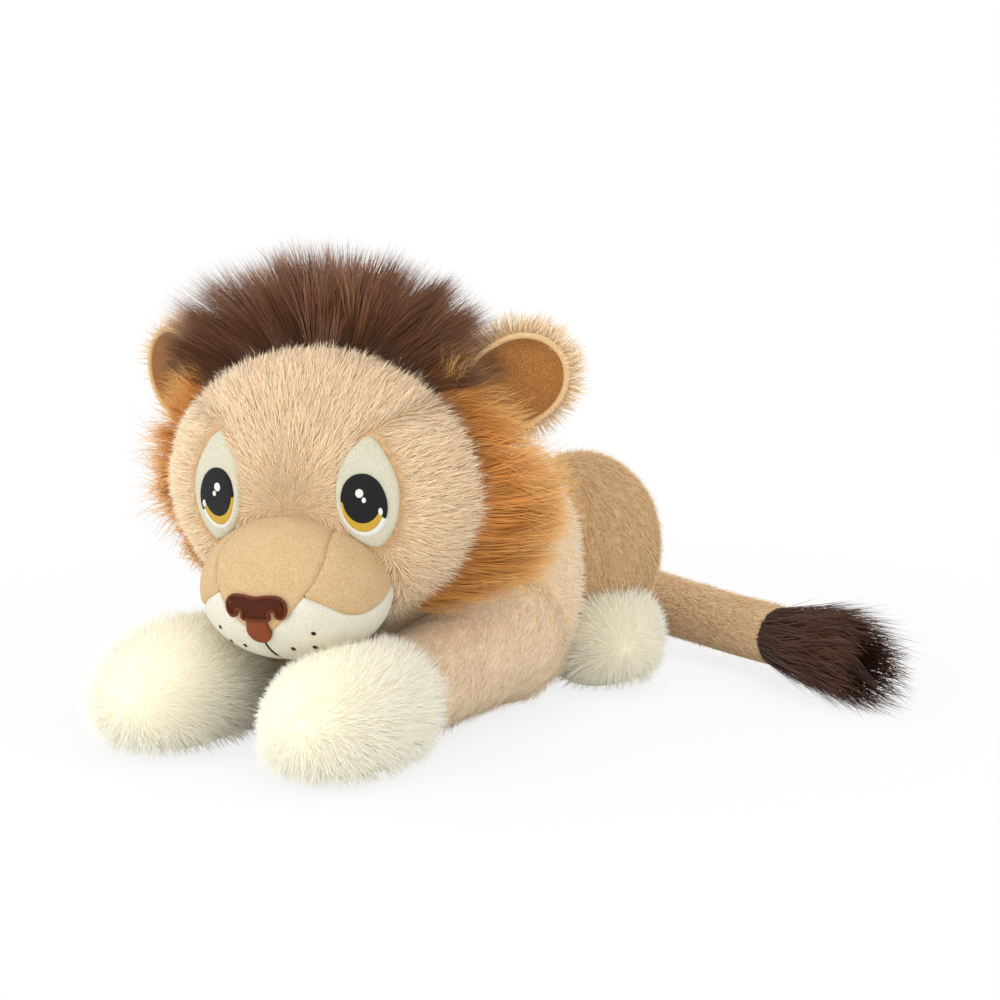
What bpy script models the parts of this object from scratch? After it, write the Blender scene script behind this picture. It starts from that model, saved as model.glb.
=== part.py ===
"""A plush lion that lies on its belly: stuffed covers, their fillings, a sewn muzzle and embroidered eyes.

Metres, +Z up. The lion faces -Y and its left side is +X. The origin is on the floor, in the middle of
the belly.
"""
import math

import bmesh
import bpy
from mathutils import Vector

for old_object in list(bpy.data.objects):
    bpy.data.objects.remove(old_object, do_unlink=True)

# Driving dimensions of the whole toy
SEAM_GAP = 0.0003
STUFFING_GAP = 0.0005
WAD_GAP = 0.0018
FLOOR_DIP = 0.0005
SEAT_GAP = 0.0008
SWING_ROOM = 0.0046
PLUSH_WALL = 0.010
VELOUR_WALL = 0.002
FULL_TURN = 2 * math.pi
FILLING_COLOUR = "#F1EFEA"
PAW_COLOUR = "#F0EEDC"
TAN_COLOUR = "#C9A67E"
EYE_BLACK = "#1A1A1C"

# Trunk
NECK_BALL_RADIUS = 0.085
NECK_BALL_Y = -0.120
NECK_BALL_HEIGHT = 0.100
TRUNK_REAR_LENGTH = 0.252
TRUNK_HALF_WIDTH = 0.132
TRUNK_HEIGHT = 0.208

# Head, in its own frame: the origin is the middle of the neck ball
HEAD_HALF_WIDTH = 0.130
HEAD_HALF_HEIGHT = 0.106
FACE_DEPTH = 0.068
HEAD_BACK_DEPTH = 0.080
HEAD_AHEAD = 0.098
HEAD_ABOVE = 0.094
HEAD_TURN = math.radians(7)
HEAD_TILT = math.radians(-1.5)

# Legs
SHOULDER_RADIUS = 0.060
SHOULDER_X = 0.084
SHOULDER_Y = -0.090
WRIST_RADIUS = 0.042
WRIST_X = 0.078
WRIST_Y = -0.240
FOREPAW_HALF_WIDTH = 0.048
FOREPAW_HALF_LENGTH = 0.081
FOREPAW_HALF_HEIGHT = 0.044
FOREPAW_X = 0.076
FOREPAW_Y = -0.292
THIGH_RADIUS = 0.072
THIGH_HALF_HEIGHT = 0.084
THIGH_X = 0.086
THIGH_Y = 0.046
THIGH_HEIGHT = 0.110
HINDPAW_HALF_WIDTH = 0.046
HINDPAW_HALF_LENGTH = 0.054
HINDPAW_HALF_HEIGHT = 0.043
HINDPAW_REACH = 0.032
HINDPAW_TURN = math.radians(55)

# Tail
TAIL_RADIUS = 0.030
TAIL_LIFT = 0.003
TUFT_RADIUS = 0.038


def linear(hex_colour):
    """The linear colour of an sRGB hex value."""
    parts = [int(hex_colour[i:i + 2], 16) / 255 for i in (1, 3, 5)]
    return [p / 12.92 if p <= 0.04045 else ((p + 0.055) / 1.055) ** 2.4 for p in parts] + [1]


def fabric(name, hex_colour, roughness):
    """A cloth material of one colour."""
    material = bpy.data.materials.new(name)
    material.use_nodes = True
    shader = material.node_tree.nodes["Principled BSDF"]
    shader.inputs["Base Color"].default_value = linear(hex_colour)
    shader.inputs["Roughness"].default_value = roughness
    shader.inputs["Metallic"].default_value = 0
    return material


def node(name, mesh, hex_colour, roughness=0.95, origin=(0, 0, 0), parent=None, crease=50):
    """One piece of the toy: its mesh is given in its parent's frame and its origin is moved to origin."""
    mesh = mesh.copy()
    bmesh.ops.translate(mesh, verts=mesh.verts, vec=-Vector(origin))
    data = bpy.data.meshes.new(name)
    mesh.to_mesh(data)
    mesh.free()
    data.materials.append(fabric(name + "_cloth", hex_colour, roughness))
    data.shade_smooth()
    data.set_sharp_from_angle(angle=math.radians(crease))
    piece = bpy.data.objects.new(name, data)
    bpy.context.scene.collection.objects.link(piece)
    piece.location = origin
    piece.parent = parent
    return piece


def frame_at(name, location, rotation=(0, 0, 0), parent=None):
    """An empty that carries the pieces of one moving part, on that part's joint axis."""
    empty = bpy.data.objects.new(name, None)
    bpy.context.scene.collection.objects.link(empty)
    empty.location = location
    empty.rotation_euler = rotation
    empty.parent = parent
    return empty


def cutter(name, mesh, parent=None):
    """A shape that only cuts or joins others."""
    tool = node(name, mesh, "#808080", parent=parent)
    tool.hide_render = True
    tool.display_type = "WIRE"
    return tool


def cut(piece, tool, operation="DIFFERENCE"):
    """Cuts the tool's shape out of the piece, or joins it on."""
    boolean = piece.modifiers.new(operation.lower() + "_" + tool.name, "BOOLEAN")
    boolean.operation = operation
    boolean.object = tool
    boolean.solver = "EXACT"


def closed_form(rings):
    """A closed body through rings of points, in order. A ring of one point is a tip."""
    mesh = bmesh.new()
    loops = [[mesh.verts.new(point) for point in ring] for ring in rings]
    for first, second in zip(loops, loops[1:]):
        for i in range(max(len(first), len(second))):
            corners = [first[i % len(first)], first[(i + 1) % len(first)],
                       second[(i + 1) % len(second)], second[i % len(second)]]
            mesh.faces.new(list(dict.fromkeys(corners)))
    bmesh.ops.recalc_face_normals(mesh, faces=mesh.faces)
    return mesh


def grown(mesh, distance):
    """A copy of a form with its surface moved outwards, or inwards where distance is negative."""
    copy = mesh.copy()
    copy.normal_update()
    moves = [(vert, vert.normal * distance) for vert in copy.verts]
    for vert, move in moves:
        vert.co += move
    return copy


def hollow(outer, inner):
    """The outer form with the inner form as its cavity. A cut opens the cavity afterwards."""
    both = outer.copy()
    copies = [both.verts.new(vert.co) for vert in inner.verts]
    for face in inner.faces:
        both.faces.new([copies[vert.index] for vert in reversed(face.verts)])
    return both


def indexed(mesh):
    """The mesh in triangles, with its points numbered, so that hollow and grown keep the same facets."""
    bmesh.ops.triangulate(mesh, faces=mesh.faces)
    mesh.verts.index_update()
    return mesh


def set_on_floor(mesh):
    """Flattens what dips below the floor."""
    copy = mesh.copy()
    for vert in copy.verts:
        vert.co.z = max(vert.co.z, 0)
    return copy


def panel(points, leans, low, high):
    """A closed pad over a grid of points, from low to high along each point's lean."""
    rows, columns = len(points), len(points[0])
    mesh = bmesh.new()

    def layer(lift):
        lifts = lift if isinstance(lift, list) else [[lift] * columns] * rows
        return [[mesh.verts.new(points[r][c] + leans[r][c] * lifts[r][c]) for c in range(columns)]
                for r in range(rows)]

    under, over = layer(low), layer(high)
    for r in range(rows - 1):
        for c in range(columns - 1):
            mesh.faces.new((over[r][c], over[r][c + 1], over[r + 1][c + 1], over[r + 1][c]))
            mesh.faces.new((under[r + 1][c], under[r + 1][c + 1], under[r][c + 1], under[r][c]))
    border = [(0, c) for c in range(columns)] + [(r, columns - 1) for r in range(1, rows)]
    border += [(rows - 1, c) for c in range(columns - 2, -1, -1)] + [(r, 0) for r in range(rows - 2, 0, -1)]
    for (r0, c0), (r1, c1) in zip(border, border[1:] + border[:1]):
        mesh.faces.new((over[r0][c0], under[r0][c0], under[r1][c1], over[r1][c1]))
    bmesh.ops.recalc_face_normals(mesh, faces=mesh.faces)
    return mesh


def drawn_in(points, seam):
    """The grid with its border moved in by half a seam, so that panels that share an edge stay apart."""
    rows, columns = len(points), len(points[0])
    moved = [[point.copy() for point in row] for row in points]
    for r in range(rows):
        for c in range(columns):
            for edge, (dr, dc) in ((r == 0, (1, 0)), (r == rows - 1, (-1, 0)),
                                   (c == 0, (0, 1)), (c == columns - 1, (0, -1))):
                if edge:
                    step = points[r + dr][c + dc] - points[r][c]
                    moved[r][c] += step.normalized() * (seam / 2)
    return moved


def between(shares, share):
    """A value read from a table of (place, value) shares by a smooth step."""
    for (a, first), (b, second) in zip(shares, shares[1:]):
        if share <= b:
            t = (share - a) / (b - a)
            return first + (second - first) * t * t * (3 - 2 * t)
    return shares[-1][1]


def smooth_line(points, count):
    """Points at even steps along a smooth curve through the given ones."""
    ends = [points[0] * 2 - points[1]] + list(points) + [points[-1] * 2 - points[-2]]
    line = []
    for i in range(count):
        place = i / (count - 1) * (len(points) - 1)
        k = min(int(place), len(points) - 2)
        t = place - k
        a, b, c, d = ends[k:k + 4]
        line.append((b * 2 + (c - a) * t + (a * 2 - b * 5 + c * 4 - d) * t ** 2
                     + (b * 3 - a - c * 3 + d) * t ** 3) / 2)
    return line


def smooth_loop(points, count):
    """Points along a smooth closed curve through the given ones."""
    total = len(points)
    loop = []
    for i in range(count):
        place = i / count * total
        k = int(place)
        t = place - k
        a, b, c, d = (points[(k + n) % total] for n in (-1, 0, 1, 2))
        loop.append((b * 2 + (c - a) * t + (a * 2 - b * 5 + c * 4 - d) * t ** 2
                     + (b * 3 - a - c * 3 + d) * t ** 3) / 2)
    return loop


def mirrored(mesh, side):
    """The form on the lion's left side, side 1, or its mirror image on the right, side -1."""
    copy = mesh.copy()
    if side < 0:
        for vert in copy.verts:
            vert.co.x = -vert.co.x
        bmesh.ops.reverse_faces(copy, faces=copy.faces)
    return copy


def ring_angles(segments):
    """Angles of a ring's points, half a step off, so that an edge and not a point is lowest."""
    return [FULL_TURN * (i + 0.5) / segments - math.pi / 2 for i in range(segments)]


def ball(centre, across, tall, segments=20, rings=10):
    """A turned form on a vertical axis whose flat faces lie outside the given radii."""
    fit = 1 / (math.cos(math.pi / segments) * math.cos(math.pi / 2 / rings))
    levels = [math.pi * r / rings for r in range(1, rings)]
    middle = [[Vector((centre[0] + across * fit * math.sin(level) * math.cos(turn),
                       centre[1] + across * fit * math.sin(level) * math.sin(turn),
                       centre[2] - tall * fit * math.cos(level))) for turn in ring_angles(segments)]
              for level in levels]
    bottom = [Vector((centre[0], centre[1], centre[2] - tall * fit))]
    top = [Vector((centre[0], centre[1], centre[2] + tall * fit))]
    return closed_form([bottom] + middle + [top])


# Trunk: a cover of tan plush, round at the neck and flat under the belly, and its filling
WAIST_SHARES = ((0, NECK_BALL_RADIUS / TRUNK_HALF_WIDTH), (0.34, 1.0), (0.68, 0.69), (1, 0.69))
NECK_TOP_SHARE = (NECK_BALL_HEIGHT + NECK_BALL_RADIUS) / TRUNK_HEIGHT
BACK_SHARES = ((0, NECK_TOP_SHARE), (0.3, 0.97), (0.62, 1.0), (1, 0.94))
BELLY_SHARES = ((0, 1), (0.14, 0), (1, 0))
RUMP_START_SHARE = 0.55
RUMP_TIP_HEIGHT_SHARE = 0.42
TRUNK_MIDDLE_SHARE = 0.46
TRUNK_SQUARENESS = 1.35
MIDDLE_SETTLES_SHARE = 0.25
SQUARE_SETTLES_SHARE = 0.2


def trunk_ring(share, segments):
    """A ring of the trunk at a share of the way from the neck ball's middle to the tail."""
    closing = max(0, (share - RUMP_START_SHARE) / (1 - RUMP_START_SHARE))
    shrink = math.sqrt(max(0, 1 - closing ** 2))
    top = TRUNK_HEIGHT * between(BACK_SHARES, share)
    bottom = (NECK_BALL_HEIGHT - NECK_BALL_RADIUS) * between(BELLY_SHARES, share) - FLOOR_DIP
    settled = min(1, share / MIDDLE_SETTLES_SHARE)
    middle = NECK_BALL_HEIGHT + (TRUNK_HEIGHT * TRUNK_MIDDLE_SHARE - NECK_BALL_HEIGHT) * settled
    tip = TRUNK_HEIGHT * RUMP_TIP_HEIGHT_SHARE
    height = tip + (middle - tip) * shrink
    square = 1 + (TRUNK_SQUARENESS - 1) * min(1, share / SQUARE_SETTLES_SHARE)
    width = TRUNK_HALF_WIDTH * between(WAIST_SHARES, share) * shrink
    ring = []
    for turn in ring_angles(segments):
        side = math.copysign(abs(math.cos(turn)) ** (1 / square), math.cos(turn))
        rise = math.copysign(abs(math.sin(turn)) ** (1 / square), math.sin(turn))
        reach = (top - middle) if rise > 0 else (middle - bottom)
        y = NECK_BALL_Y + TRUNK_REAR_LENGTH * share
        ring.append(Vector((width * side, y, height + reach * shrink * rise)))
    return ring


def trunk_form(segments, neck_rings, rings):
    """The whole outside of the trunk."""
    front = []
    for r in range(1, neck_rings):
        level = math.pi / 2 * r / neck_rings
        radius, y = NECK_BALL_RADIUS * math.sin(level), NECK_BALL_Y - NECK_BALL_RADIUS * math.cos(level)
        front.append([Vector((radius * math.cos(t), y, NECK_BALL_HEIGHT + radius * math.sin(t)))
                      for t in ring_angles(segments)])
    nose = [Vector((0, NECK_BALL_Y - NECK_BALL_RADIUS, NECK_BALL_HEIGHT))]
    shares = [math.sin(math.pi / 2 * r / rings) for r in range(rings)]
    rear = [Vector((0, NECK_BALL_Y + TRUNK_REAR_LENGTH, TRUNK_HEIGHT * RUMP_TIP_HEIGHT_SHARE))]
    return indexed(closed_form([nose] + front + [trunk_ring(share, segments) for share in shares] + [rear]))


trunk_outside = trunk_form(segments=22, neck_rings=5, rings=12)
trunk_inside = indexed(grown(trunk_form(segments=14, neck_rings=4, rings=6), -PLUSH_WALL))
body_cover = node("body_cover", hollow(set_on_floor(trunk_outside), trunk_inside), "#DDBFA2")
body_filling = node("body_filling", grown(trunk_inside, -STUFFING_GAP), FILLING_COLOUR)


def seat(tool):
    """Cuts the seat of a leg or of the tail into the trunk's cover and filling."""
    cut(body_cover, tool)
    cut(body_filling, tool)


# Limbs: each has a sleeve, an end sewn on it, and one filling that runs through both
def egg(centre, across, along, tall, turn=0, segments=16, rings=10, squareness=1.25):
    """A stuffed end: long along its own axis, which turn swings from -Y towards +X, and flatter below."""
    ahead = Vector((math.sin(turn), -math.cos(turn), 0))
    aside = Vector((math.cos(turn), math.sin(turn), 0))
    body = []
    for r in range(1, rings):
        level = math.pi * r / rings
        middle, radius = centre - ahead * along * math.cos(level), math.sin(level)
        ring = []
        for t in ring_angles(segments):
            side, rise = math.cos(t), math.sin(t)
            if rise < 0:
                side = math.copysign(abs(side) ** (1 / squareness), side)
                rise = -abs(rise) ** (1 / squareness)
            ring.append(middle + aside * across * radius * side + Vector((0, 0, tall * radius * rise)))
        body.append(ring)
    return indexed(closed_form([[centre - ahead * along]] + body + [[centre + ahead * along]]))


def tube(path, radii, segments=16, round_rings=4, round_end=True):
    """Rings of a stuffed tube along a path, with a half ball at its start and, if asked, at its end."""
    def ring(middle, heading, radius):
        aside = heading.cross(Vector((0, 0, 1))).normalized()
        rise = aside.cross(heading)
        return [middle + (aside * math.cos(t) + rise * math.sin(t)) * radius for t in ring_angles(segments)]

    steps = [(b - a).normalized() for a, b in zip(path, path[1:])]
    headings = [steps[0]] + [(a + b).normalized() for a, b in zip(steps, steps[1:])] + [steps[-1]]
    rings = [[path[0] - headings[0] * radii[0]]]
    for r in range(1, round_rings):
        level = math.pi / 2 * r / round_rings
        rings.append(ring(path[0] - headings[0] * radii[0] * math.cos(level), headings[0],
                          radii[0] * math.sin(level)))
    rings += [ring(*sample) for sample in zip(path, headings, radii)]
    if round_end:
        for r in range(round_rings - 1, 0, -1):
            level = math.pi / 2 * r / round_rings
            rings.append(ring(path[-1] + headings[-1] * radii[-1] * math.cos(level), headings[-1],
                              radii[-1] * math.sin(level)))
        rings.append([path[-1] + headings[-1] * radii[-1]])
    return rings


def sew_limb(names, sleeve, end, inner_sleeve, inner_end, pivot, side, colours):
    """Makes a limb's sleeve, its end and its filling. The larger form cuts the smaller at the seam."""
    shapes = {}
    for key, fine, plain in (("sleeve", sleeve, inner_sleeve), ("end", end, inner_end)):
        shapes[key] = mirrored(fine, side)
        shapes[key + "_inside"] = indexed(grown(mirrored(plain, side), -PLUSH_WALL))
        shapes[key + "_filling"] = grown(shapes[key + "_inside"], -STUFFING_GAP)
    cover = node(names[0], hollow(set_on_floor(shapes["sleeve"]), shapes["sleeve_inside"]), colours[0],
                 origin=pivot)
    paw = node(names[1], hollow(set_on_floor(shapes["end"]), shapes["end_inside"]), colours[1], origin=pivot)
    filling = node(names[2], shapes["sleeve_filling"], FILLING_COLOUR, origin=pivot)
    cut(cover, cutter(names[1] + "_room", shapes["end_inside"]))
    cut(paw, cutter(names[0] + "_room", grown(shapes["sleeve"], SEAM_GAP)))
    cut(filling, cutter(names[1] + "_stuffing", shapes["end_filling"]), "UNION")
    return shapes


# Forelegs: a sleeve with a ball at the shoulder, and a long paw
SLEEVE_WIDTH_SHARES = ((0, 1), (0.3, 0.52), (0.65, 0.26), (1, 0))


def foreleg_tube(segments, round_rings):
    """The left sleeve, from the ball at the shoulder to the wrist."""
    shoulder = Vector((SHOULDER_X, SHOULDER_Y, SHOULDER_RADIUS - FLOOR_DIP))
    wrist = Vector((WRIST_X, WRIST_Y, WRIST_RADIUS - FLOOR_DIP))
    path = [shoulder.lerp(wrist, share) for share, width in SLEEVE_WIDTH_SHARES]
    radii = [WRIST_RADIUS + (SHOULDER_RADIUS - WRIST_RADIUS) * width for share, width in SLEEVE_WIDTH_SHARES]
    return indexed(closed_form(tube(path, radii, segments, round_rings)))


def forepaw_egg(segments, rings):
    """The left forepaw."""
    centre = Vector((FOREPAW_X, FOREPAW_Y, FOREPAW_HALF_HEIGHT - FLOOR_DIP))
    return egg(centre, FOREPAW_HALF_WIDTH, FOREPAW_HALF_LENGTH, FOREPAW_HALF_HEIGHT, 0, segments, rings)


for side, word in ((1, "left"), (-1, "right")):
    shoulder = Vector((SHOULDER_X * side, SHOULDER_Y, SHOULDER_RADIUS - FLOOR_DIP))
    forms = sew_limb([f"foreleg_{word}_cover", f"forepaw_{word}_cover", f"foreleg_{word}_filling"],
                     foreleg_tube(16, 4), forepaw_egg(16, 8), foreleg_tube(10, 3), forepaw_egg(10, 6),
                     shoulder, side, ["#DDBFA2", PAW_COLOUR])
    room = SHOULDER_RADIUS + SWING_ROOM
    seat(cutter(f"shoulder_{word}_seat", ball(shoulder, room, room)))
    seat(cutter(f"foreleg_{word}_seat", grown(forms["sleeve"], SEAT_GAP)))


# Hind legs: a thigh that is round about its upright axis, and a paw that points forwards and out
def thigh_form(segments, rings):
    """The left thigh, round about the upright axis that it swings on."""
    levels = [math.pi * r / rings for r in range(1, rings)]
    body = [[Vector((THIGH_X + THIGH_RADIUS * math.sin(level) * math.cos(t),
                     THIGH_Y + THIGH_RADIUS * math.sin(level) * math.sin(t),
                     THIGH_HEIGHT - THIGH_HALF_HEIGHT * math.cos(level))) for t in ring_angles(segments)]
            for level in levels]
    low = [Vector((THIGH_X, THIGH_Y, THIGH_HEIGHT - THIGH_HALF_HEIGHT))]
    high = [Vector((THIGH_X, THIGH_Y, THIGH_HEIGHT + THIGH_HALF_HEIGHT))]
    return indexed(closed_form([low] + body + [high]))


def hindpaw_egg(segments, rings):
    """The left hind paw."""
    centre = Vector((THIGH_X + HINDPAW_REACH * math.sin(HINDPAW_TURN),
                     THIGH_Y - HINDPAW_REACH * math.cos(HINDPAW_TURN), HINDPAW_HALF_HEIGHT - FLOOR_DIP))
    return egg(centre, HINDPAW_HALF_WIDTH, HINDPAW_HALF_LENGTH, HINDPAW_HALF_HEIGHT, HINDPAW_TURN,
               segments, rings)


for side, word in ((1, "left"), (-1, "right")):
    hip = Vector((THIGH_X * side, THIGH_Y, THIGH_HEIGHT))
    forms = sew_limb([f"hindleg_{word}_cover", f"hindpaw_{word}_cover", f"hindleg_{word}_filling"],
                     thigh_form(18, 9), hindpaw_egg(14, 8), thigh_form(10, 7), hindpaw_egg(10, 6),
                     hip, side, [TAN_COLOUR, PAW_COLOUR])
    seat(cutter(f"thigh_{word}_seat", ball(hip, THIGH_RADIUS + SEAM_GAP, THIGH_HALF_HEIGHT + SEAM_GAP)))
    seat(cutter(f"hindpaw_{word}_seat", grown(forms["end"], SEAM_GAP)))

# Tail: a short-pile tube that leaves the rump, curls to the lion's left and ends in a tuft on the floor
TAIL_ROOT_Y = 0.130
TAIL_ROOT_HEIGHT = 0.058
TAIL_REACH = 0.232
TAIL_SWEEP = 0.050
TUFT_REACH = 0.152
TUFT_SWEEP = 0.106
TUFT_TIP_HEIGHT = 0.008
TAIL_ROUTE_SHARES = ((0, 0, 1.0), (0.06, 0.64, 0.72), (0.25, 1.0, 0.4), (0.5, 0.75, 0.15), (0.76, 0.36, 0),
                     (1.0, -0.11, 0))
TUFT_ROUTE_SHARES = ((0.33, 0.26, 1.0), (0.67, 0.62, 0.72), (1.0, 1.0, 0))
TUFT_WIDTH_SHARES = ((0, 0.68), (0.1, 0.7), (0.35, 1.0), (0.65, 0.72), (1, 0.1))
TUFT_LAP_SHARE = 0.15
TAIL_SEGMENTS = 14
TAIL_STEPS = 10
TAIL_END_STEPS = 4
TUFT_SEGMENTS = 14
TUFT_STEPS = 9
tail_lying = TAIL_RADIUS + TAIL_LIFT
tail_points = [Vector((TAIL_REACH * aside, TAIL_ROOT_Y + TAIL_SWEEP * behind,
                       tail_lying + (TAIL_ROOT_HEIGHT - tail_lying) * up))
               for aside, behind, up in TAIL_ROUTE_SHARES]
tail_root, tail_end = tail_points[0], tail_points[-1]
tuft_points = [Vector((tail_end.x + TUFT_REACH * aside, tail_end.y - TUFT_SWEEP * ahead,
                       TUFT_TIP_HEIGHT + (tail_lying - TUFT_TIP_HEIGHT) * up))
               for aside, ahead, up in TUFT_ROUTE_SHARES]


def tail_tube(radius):
    """Rings of the tail's tube, with its last ring square to the path's end."""
    return tube(smooth_line(tail_points, TAIL_STEPS), [radius] * TAIL_STEPS, TAIL_SEGMENTS, TAIL_END_STEPS,
                round_end=False)


tail_outside = tail_tube(TAIL_RADIUS)
tail_inside = tail_tube(TAIL_RADIUS - PLUSH_WALL)
tail_skin = closed_form(tail_outside + [[point.copy() for point in tail_inside[-1]]] + tail_inside[-2::-1])
node("tail_cover", set_on_floor(tail_skin), TAN_COLOUR, origin=tail_root)
tail_stuffing = closed_form(tail_tube(TAIL_RADIUS - PLUSH_WALL - WAD_GAP) + [[tail_end]])
node("tail_filling", tail_stuffing, FILLING_COLOUR, origin=tail_root)
tail_room = grown(closed_form(tail_outside + [[tail_end]]), SEAM_GAP)
tuft_path = smooth_line([tail_end.lerp(tail_points[-2], TUFT_LAP_SHARE)] + tuft_points, TUFT_STEPS)
tuft_radii = [TUFT_RADIUS * between(TUFT_WIDTH_SHARES, i / (TUFT_STEPS - 1)) for i in range(TUFT_STEPS)]
tuft_rings = tube(tuft_path, tuft_radii, TUFT_SEGMENTS, TAIL_END_STEPS, round_end=False)[TAIL_END_STEPS:]
tuft_form = set_on_floor(closed_form([[tuft_path[0]]] + tuft_rings + [[tuft_path[-1]]]))
tuft = node("tail_tuft", tuft_form, "#4A3027", origin=tail_root)
cut(tuft, cutter("tail_end_room", tail_room))
seat(cutter("tail_way", tail_room))
seat(cutter("tail_seat", ball(tail_root, TAIL_RADIUS + SEAM_GAP, TAIL_RADIUS + SEAM_GAP)))

# Head: its pieces share a frame in the middle of the neck ball, turned a little to the lion's left
head = frame_at("head_frame", (0, NECK_BALL_Y, NECK_BALL_HEIGHT), (0, HEAD_TILT, HEAD_TURN))
HEAD_CENTRE = Vector((0, -HEAD_AHEAD, HEAD_ABOVE))
HEAD_SEGMENTS = 26
FACE_RINGS = 8
BACK_RINGS = 6
FACE_INNER_RINGS = 5
BACK_INNER_RINGS = 4
EDGE_SHARE = 0.001


def head_ring(level, wall, segments, front):
    """A ring round the head's long axis; level 0 is a pole and a quarter turn is the widest ring."""
    depth = (FACE_DEPTH if front else HEAD_BACK_DEPTH) - wall
    y = (depth * math.cos(level) + SEAM_GAP / 2) * (-1 if front else 1)
    return [HEAD_CENTRE + Vector(((HEAD_HALF_WIDTH - wall) * math.sin(level) * math.cos(t), y,
                                  (HEAD_HALF_HEIGHT - wall) * math.sin(level) * math.sin(t)))
            for t in ring_angles(segments)]


def head_dome(wall, rings, front):
    """Rings of the front or the back of the head, from its pole to its rim."""
    dome = [head_ring(0, wall, 1, front)]
    for r in range(1, rings + 1):
        dome.append(head_ring(math.pi / 2 * r / rings, wall, HEAD_SEGMENTS, front))
    return dome


neck_room = NECK_BALL_RADIUS + SEAM_GAP
neck_seat = cutter("neck_seat", ball(Vector((0, 0, 0)), neck_room, neck_room), parent=head)
face_skin = head_dome(0, FACE_RINGS, True) + head_dome(PLUSH_WALL, FACE_INNER_RINGS, True)[::-1]
face_cover = node("face_cover", closed_form(face_skin), "#E3C9A8", parent=head)
back_skin = head_dome(0, BACK_RINGS, False) + head_dome(PLUSH_WALL, BACK_INNER_RINGS, False)[::-1]
head_back_cover = node("head_back_cover", closed_form(back_skin), "#4A3229", parent=head)
cut(head_back_cover, neck_seat)
wall = PLUSH_WALL + SEAM_GAP
stuffing = head_dome(wall, FACE_INNER_RINGS, True) + head_dome(wall, BACK_INNER_RINGS, False)[::-1]
head_filling = node("head_filling", closed_form(stuffing), FILLING_COLOUR, parent=head)
cut(head_filling, neck_seat)


def on_face(x, z, lift=0):
    """The point of the face x aside and z above the middle of the head, lifted off the surface."""
    left = 1 - (x / HEAD_HALF_WIDTH) ** 2 - (z / HEAD_HALF_HEIGHT) ** 2
    ahead = FACE_DEPTH * math.sqrt(max(EDGE_SHARE, left))
    normal = Vector((x / HEAD_HALF_WIDTH ** 2, -ahead / FACE_DEPTH ** 2, z / HEAD_HALF_HEIGHT ** 2))
    return HEAD_CENTRE + Vector((x, -ahead - SEAM_GAP / 2, z)) + normal.normalized() * lift


def plate(outline, place, low, high, rings=2):
    """A pad with an outline, laid on a surface: place turns an outline point and a lift into a point."""
    middle = sum(outline, Vector((0, 0))) / len(outline)

    def layer(lift):
        loops = [[place(*middle, lift)]]
        for ring in range(1, rings + 1):
            loops.append([place(*middle.lerp(point, ring / rings), lift) for point in outline])
        return loops

    return closed_form(layer(high) + layer(low)[::-1])


# Mane: pads as thick as the pile is long, on the back cover along the seam round the face
CREST_PILE = 0.084
CREST_HALF_SPAN = math.radians(41)
CREST_FRONT = math.radians(88)
CREST_REAR = math.radians(124)
CREST_PILE_SHARES = ((0, 0.78), (0.35, 1.0), (1, 0.72))
CREST_END_SHARES = ((0, 1.0), (0.6, 0.98), (1, 0.72))
CREST_FAN = 0.18
CREST_FAN_END_SHARE = 0.3
CREST_LEAN_SHARES = ((0, 0.05), (1, 0.75))
MANE_BACK_PILE = 0.044
MANE_BACK_HALF_SPAN = math.radians(60)
MANE_BACK_FRONT = math.radians(125)
MANE_BACK_REAR = math.radians(162)
MANE_BACK_BACKWARD_SHARE = 1.4
MANE_BACK_THINNING_SHARE = 0.3
PAD_GAP = 0.0009
RUFF_PILE = 0.068
RUFF_TOP = math.radians(47)
RUFF_EAR_LEVEL = math.radians(82)
RUFF_BOTTOM = math.radians(140)
RUFF_FRONT = math.radians(91)
RUFF_REAR_AT_EAR = math.radians(96)
RUFF_REAR = math.radians(114)
RUFF_LOWEST_LEAN = math.radians(100)
RUFF_PILE_SHARES = ((0, 0.45), (0.34, 0.5), (0.5, 0.95), (0.8, 1.0), (1, 0.7))
RUFF_THINNING_SHARE = 0.15
RUFF_BACKWARD_SHARES = ((0, 0), (0.36, 0.1), (0.55, 0.42), (1, 0.4))


def on_back(turn, level):
    """The point of the back cover at a turn from the top and an angle from the front pole."""
    turn = math.atan2(math.sin(turn) / HEAD_HALF_WIDTH, math.cos(turn) / HEAD_HALF_HEIGHT)
    return HEAD_CENTRE + Vector((HEAD_HALF_WIDTH * math.sin(level) * math.sin(turn),
                                 HEAD_BACK_DEPTH * abs(math.cos(level)) + SEAM_GAP,
                                 HEAD_HALF_HEIGHT * math.sin(level) * math.cos(turn)))


def pile_pad(rows, columns, place):
    """A pad of pile: place gives a root point, a lean and a length for two shares."""
    cells = [[place(r / (rows - 1), c / (columns - 1)) for c in range(columns)] for r in range(rows)]
    return panel([[cell[0] for cell in row] for row in cells], [[cell[1] for cell in row] for row in cells],
                 [[PAD_GAP for cell in row] for row in cells], [[cell[2] for cell in row] for row in cells])


def crest_cell(back, across):
    """The crest's root, lean and pile length. It stands up from the top of the head."""
    turn = CREST_HALF_SPAN * (across * 2 - 1)
    root = on_back(turn, CREST_FRONT + (CREST_REAR - CREST_FRONT) * back)
    fanned = turn * (1 + CREST_FAN * max(0, 1 - back / CREST_FAN_END_SHARE))
    lean = Vector((math.sin(fanned), between(CREST_LEAN_SHARES, back), math.cos(fanned))).normalized()
    pile = CREST_PILE * between(CREST_PILE_SHARES, back) * between(CREST_END_SHARES, abs(across * 2 - 1))
    return root, lean, pile


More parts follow.
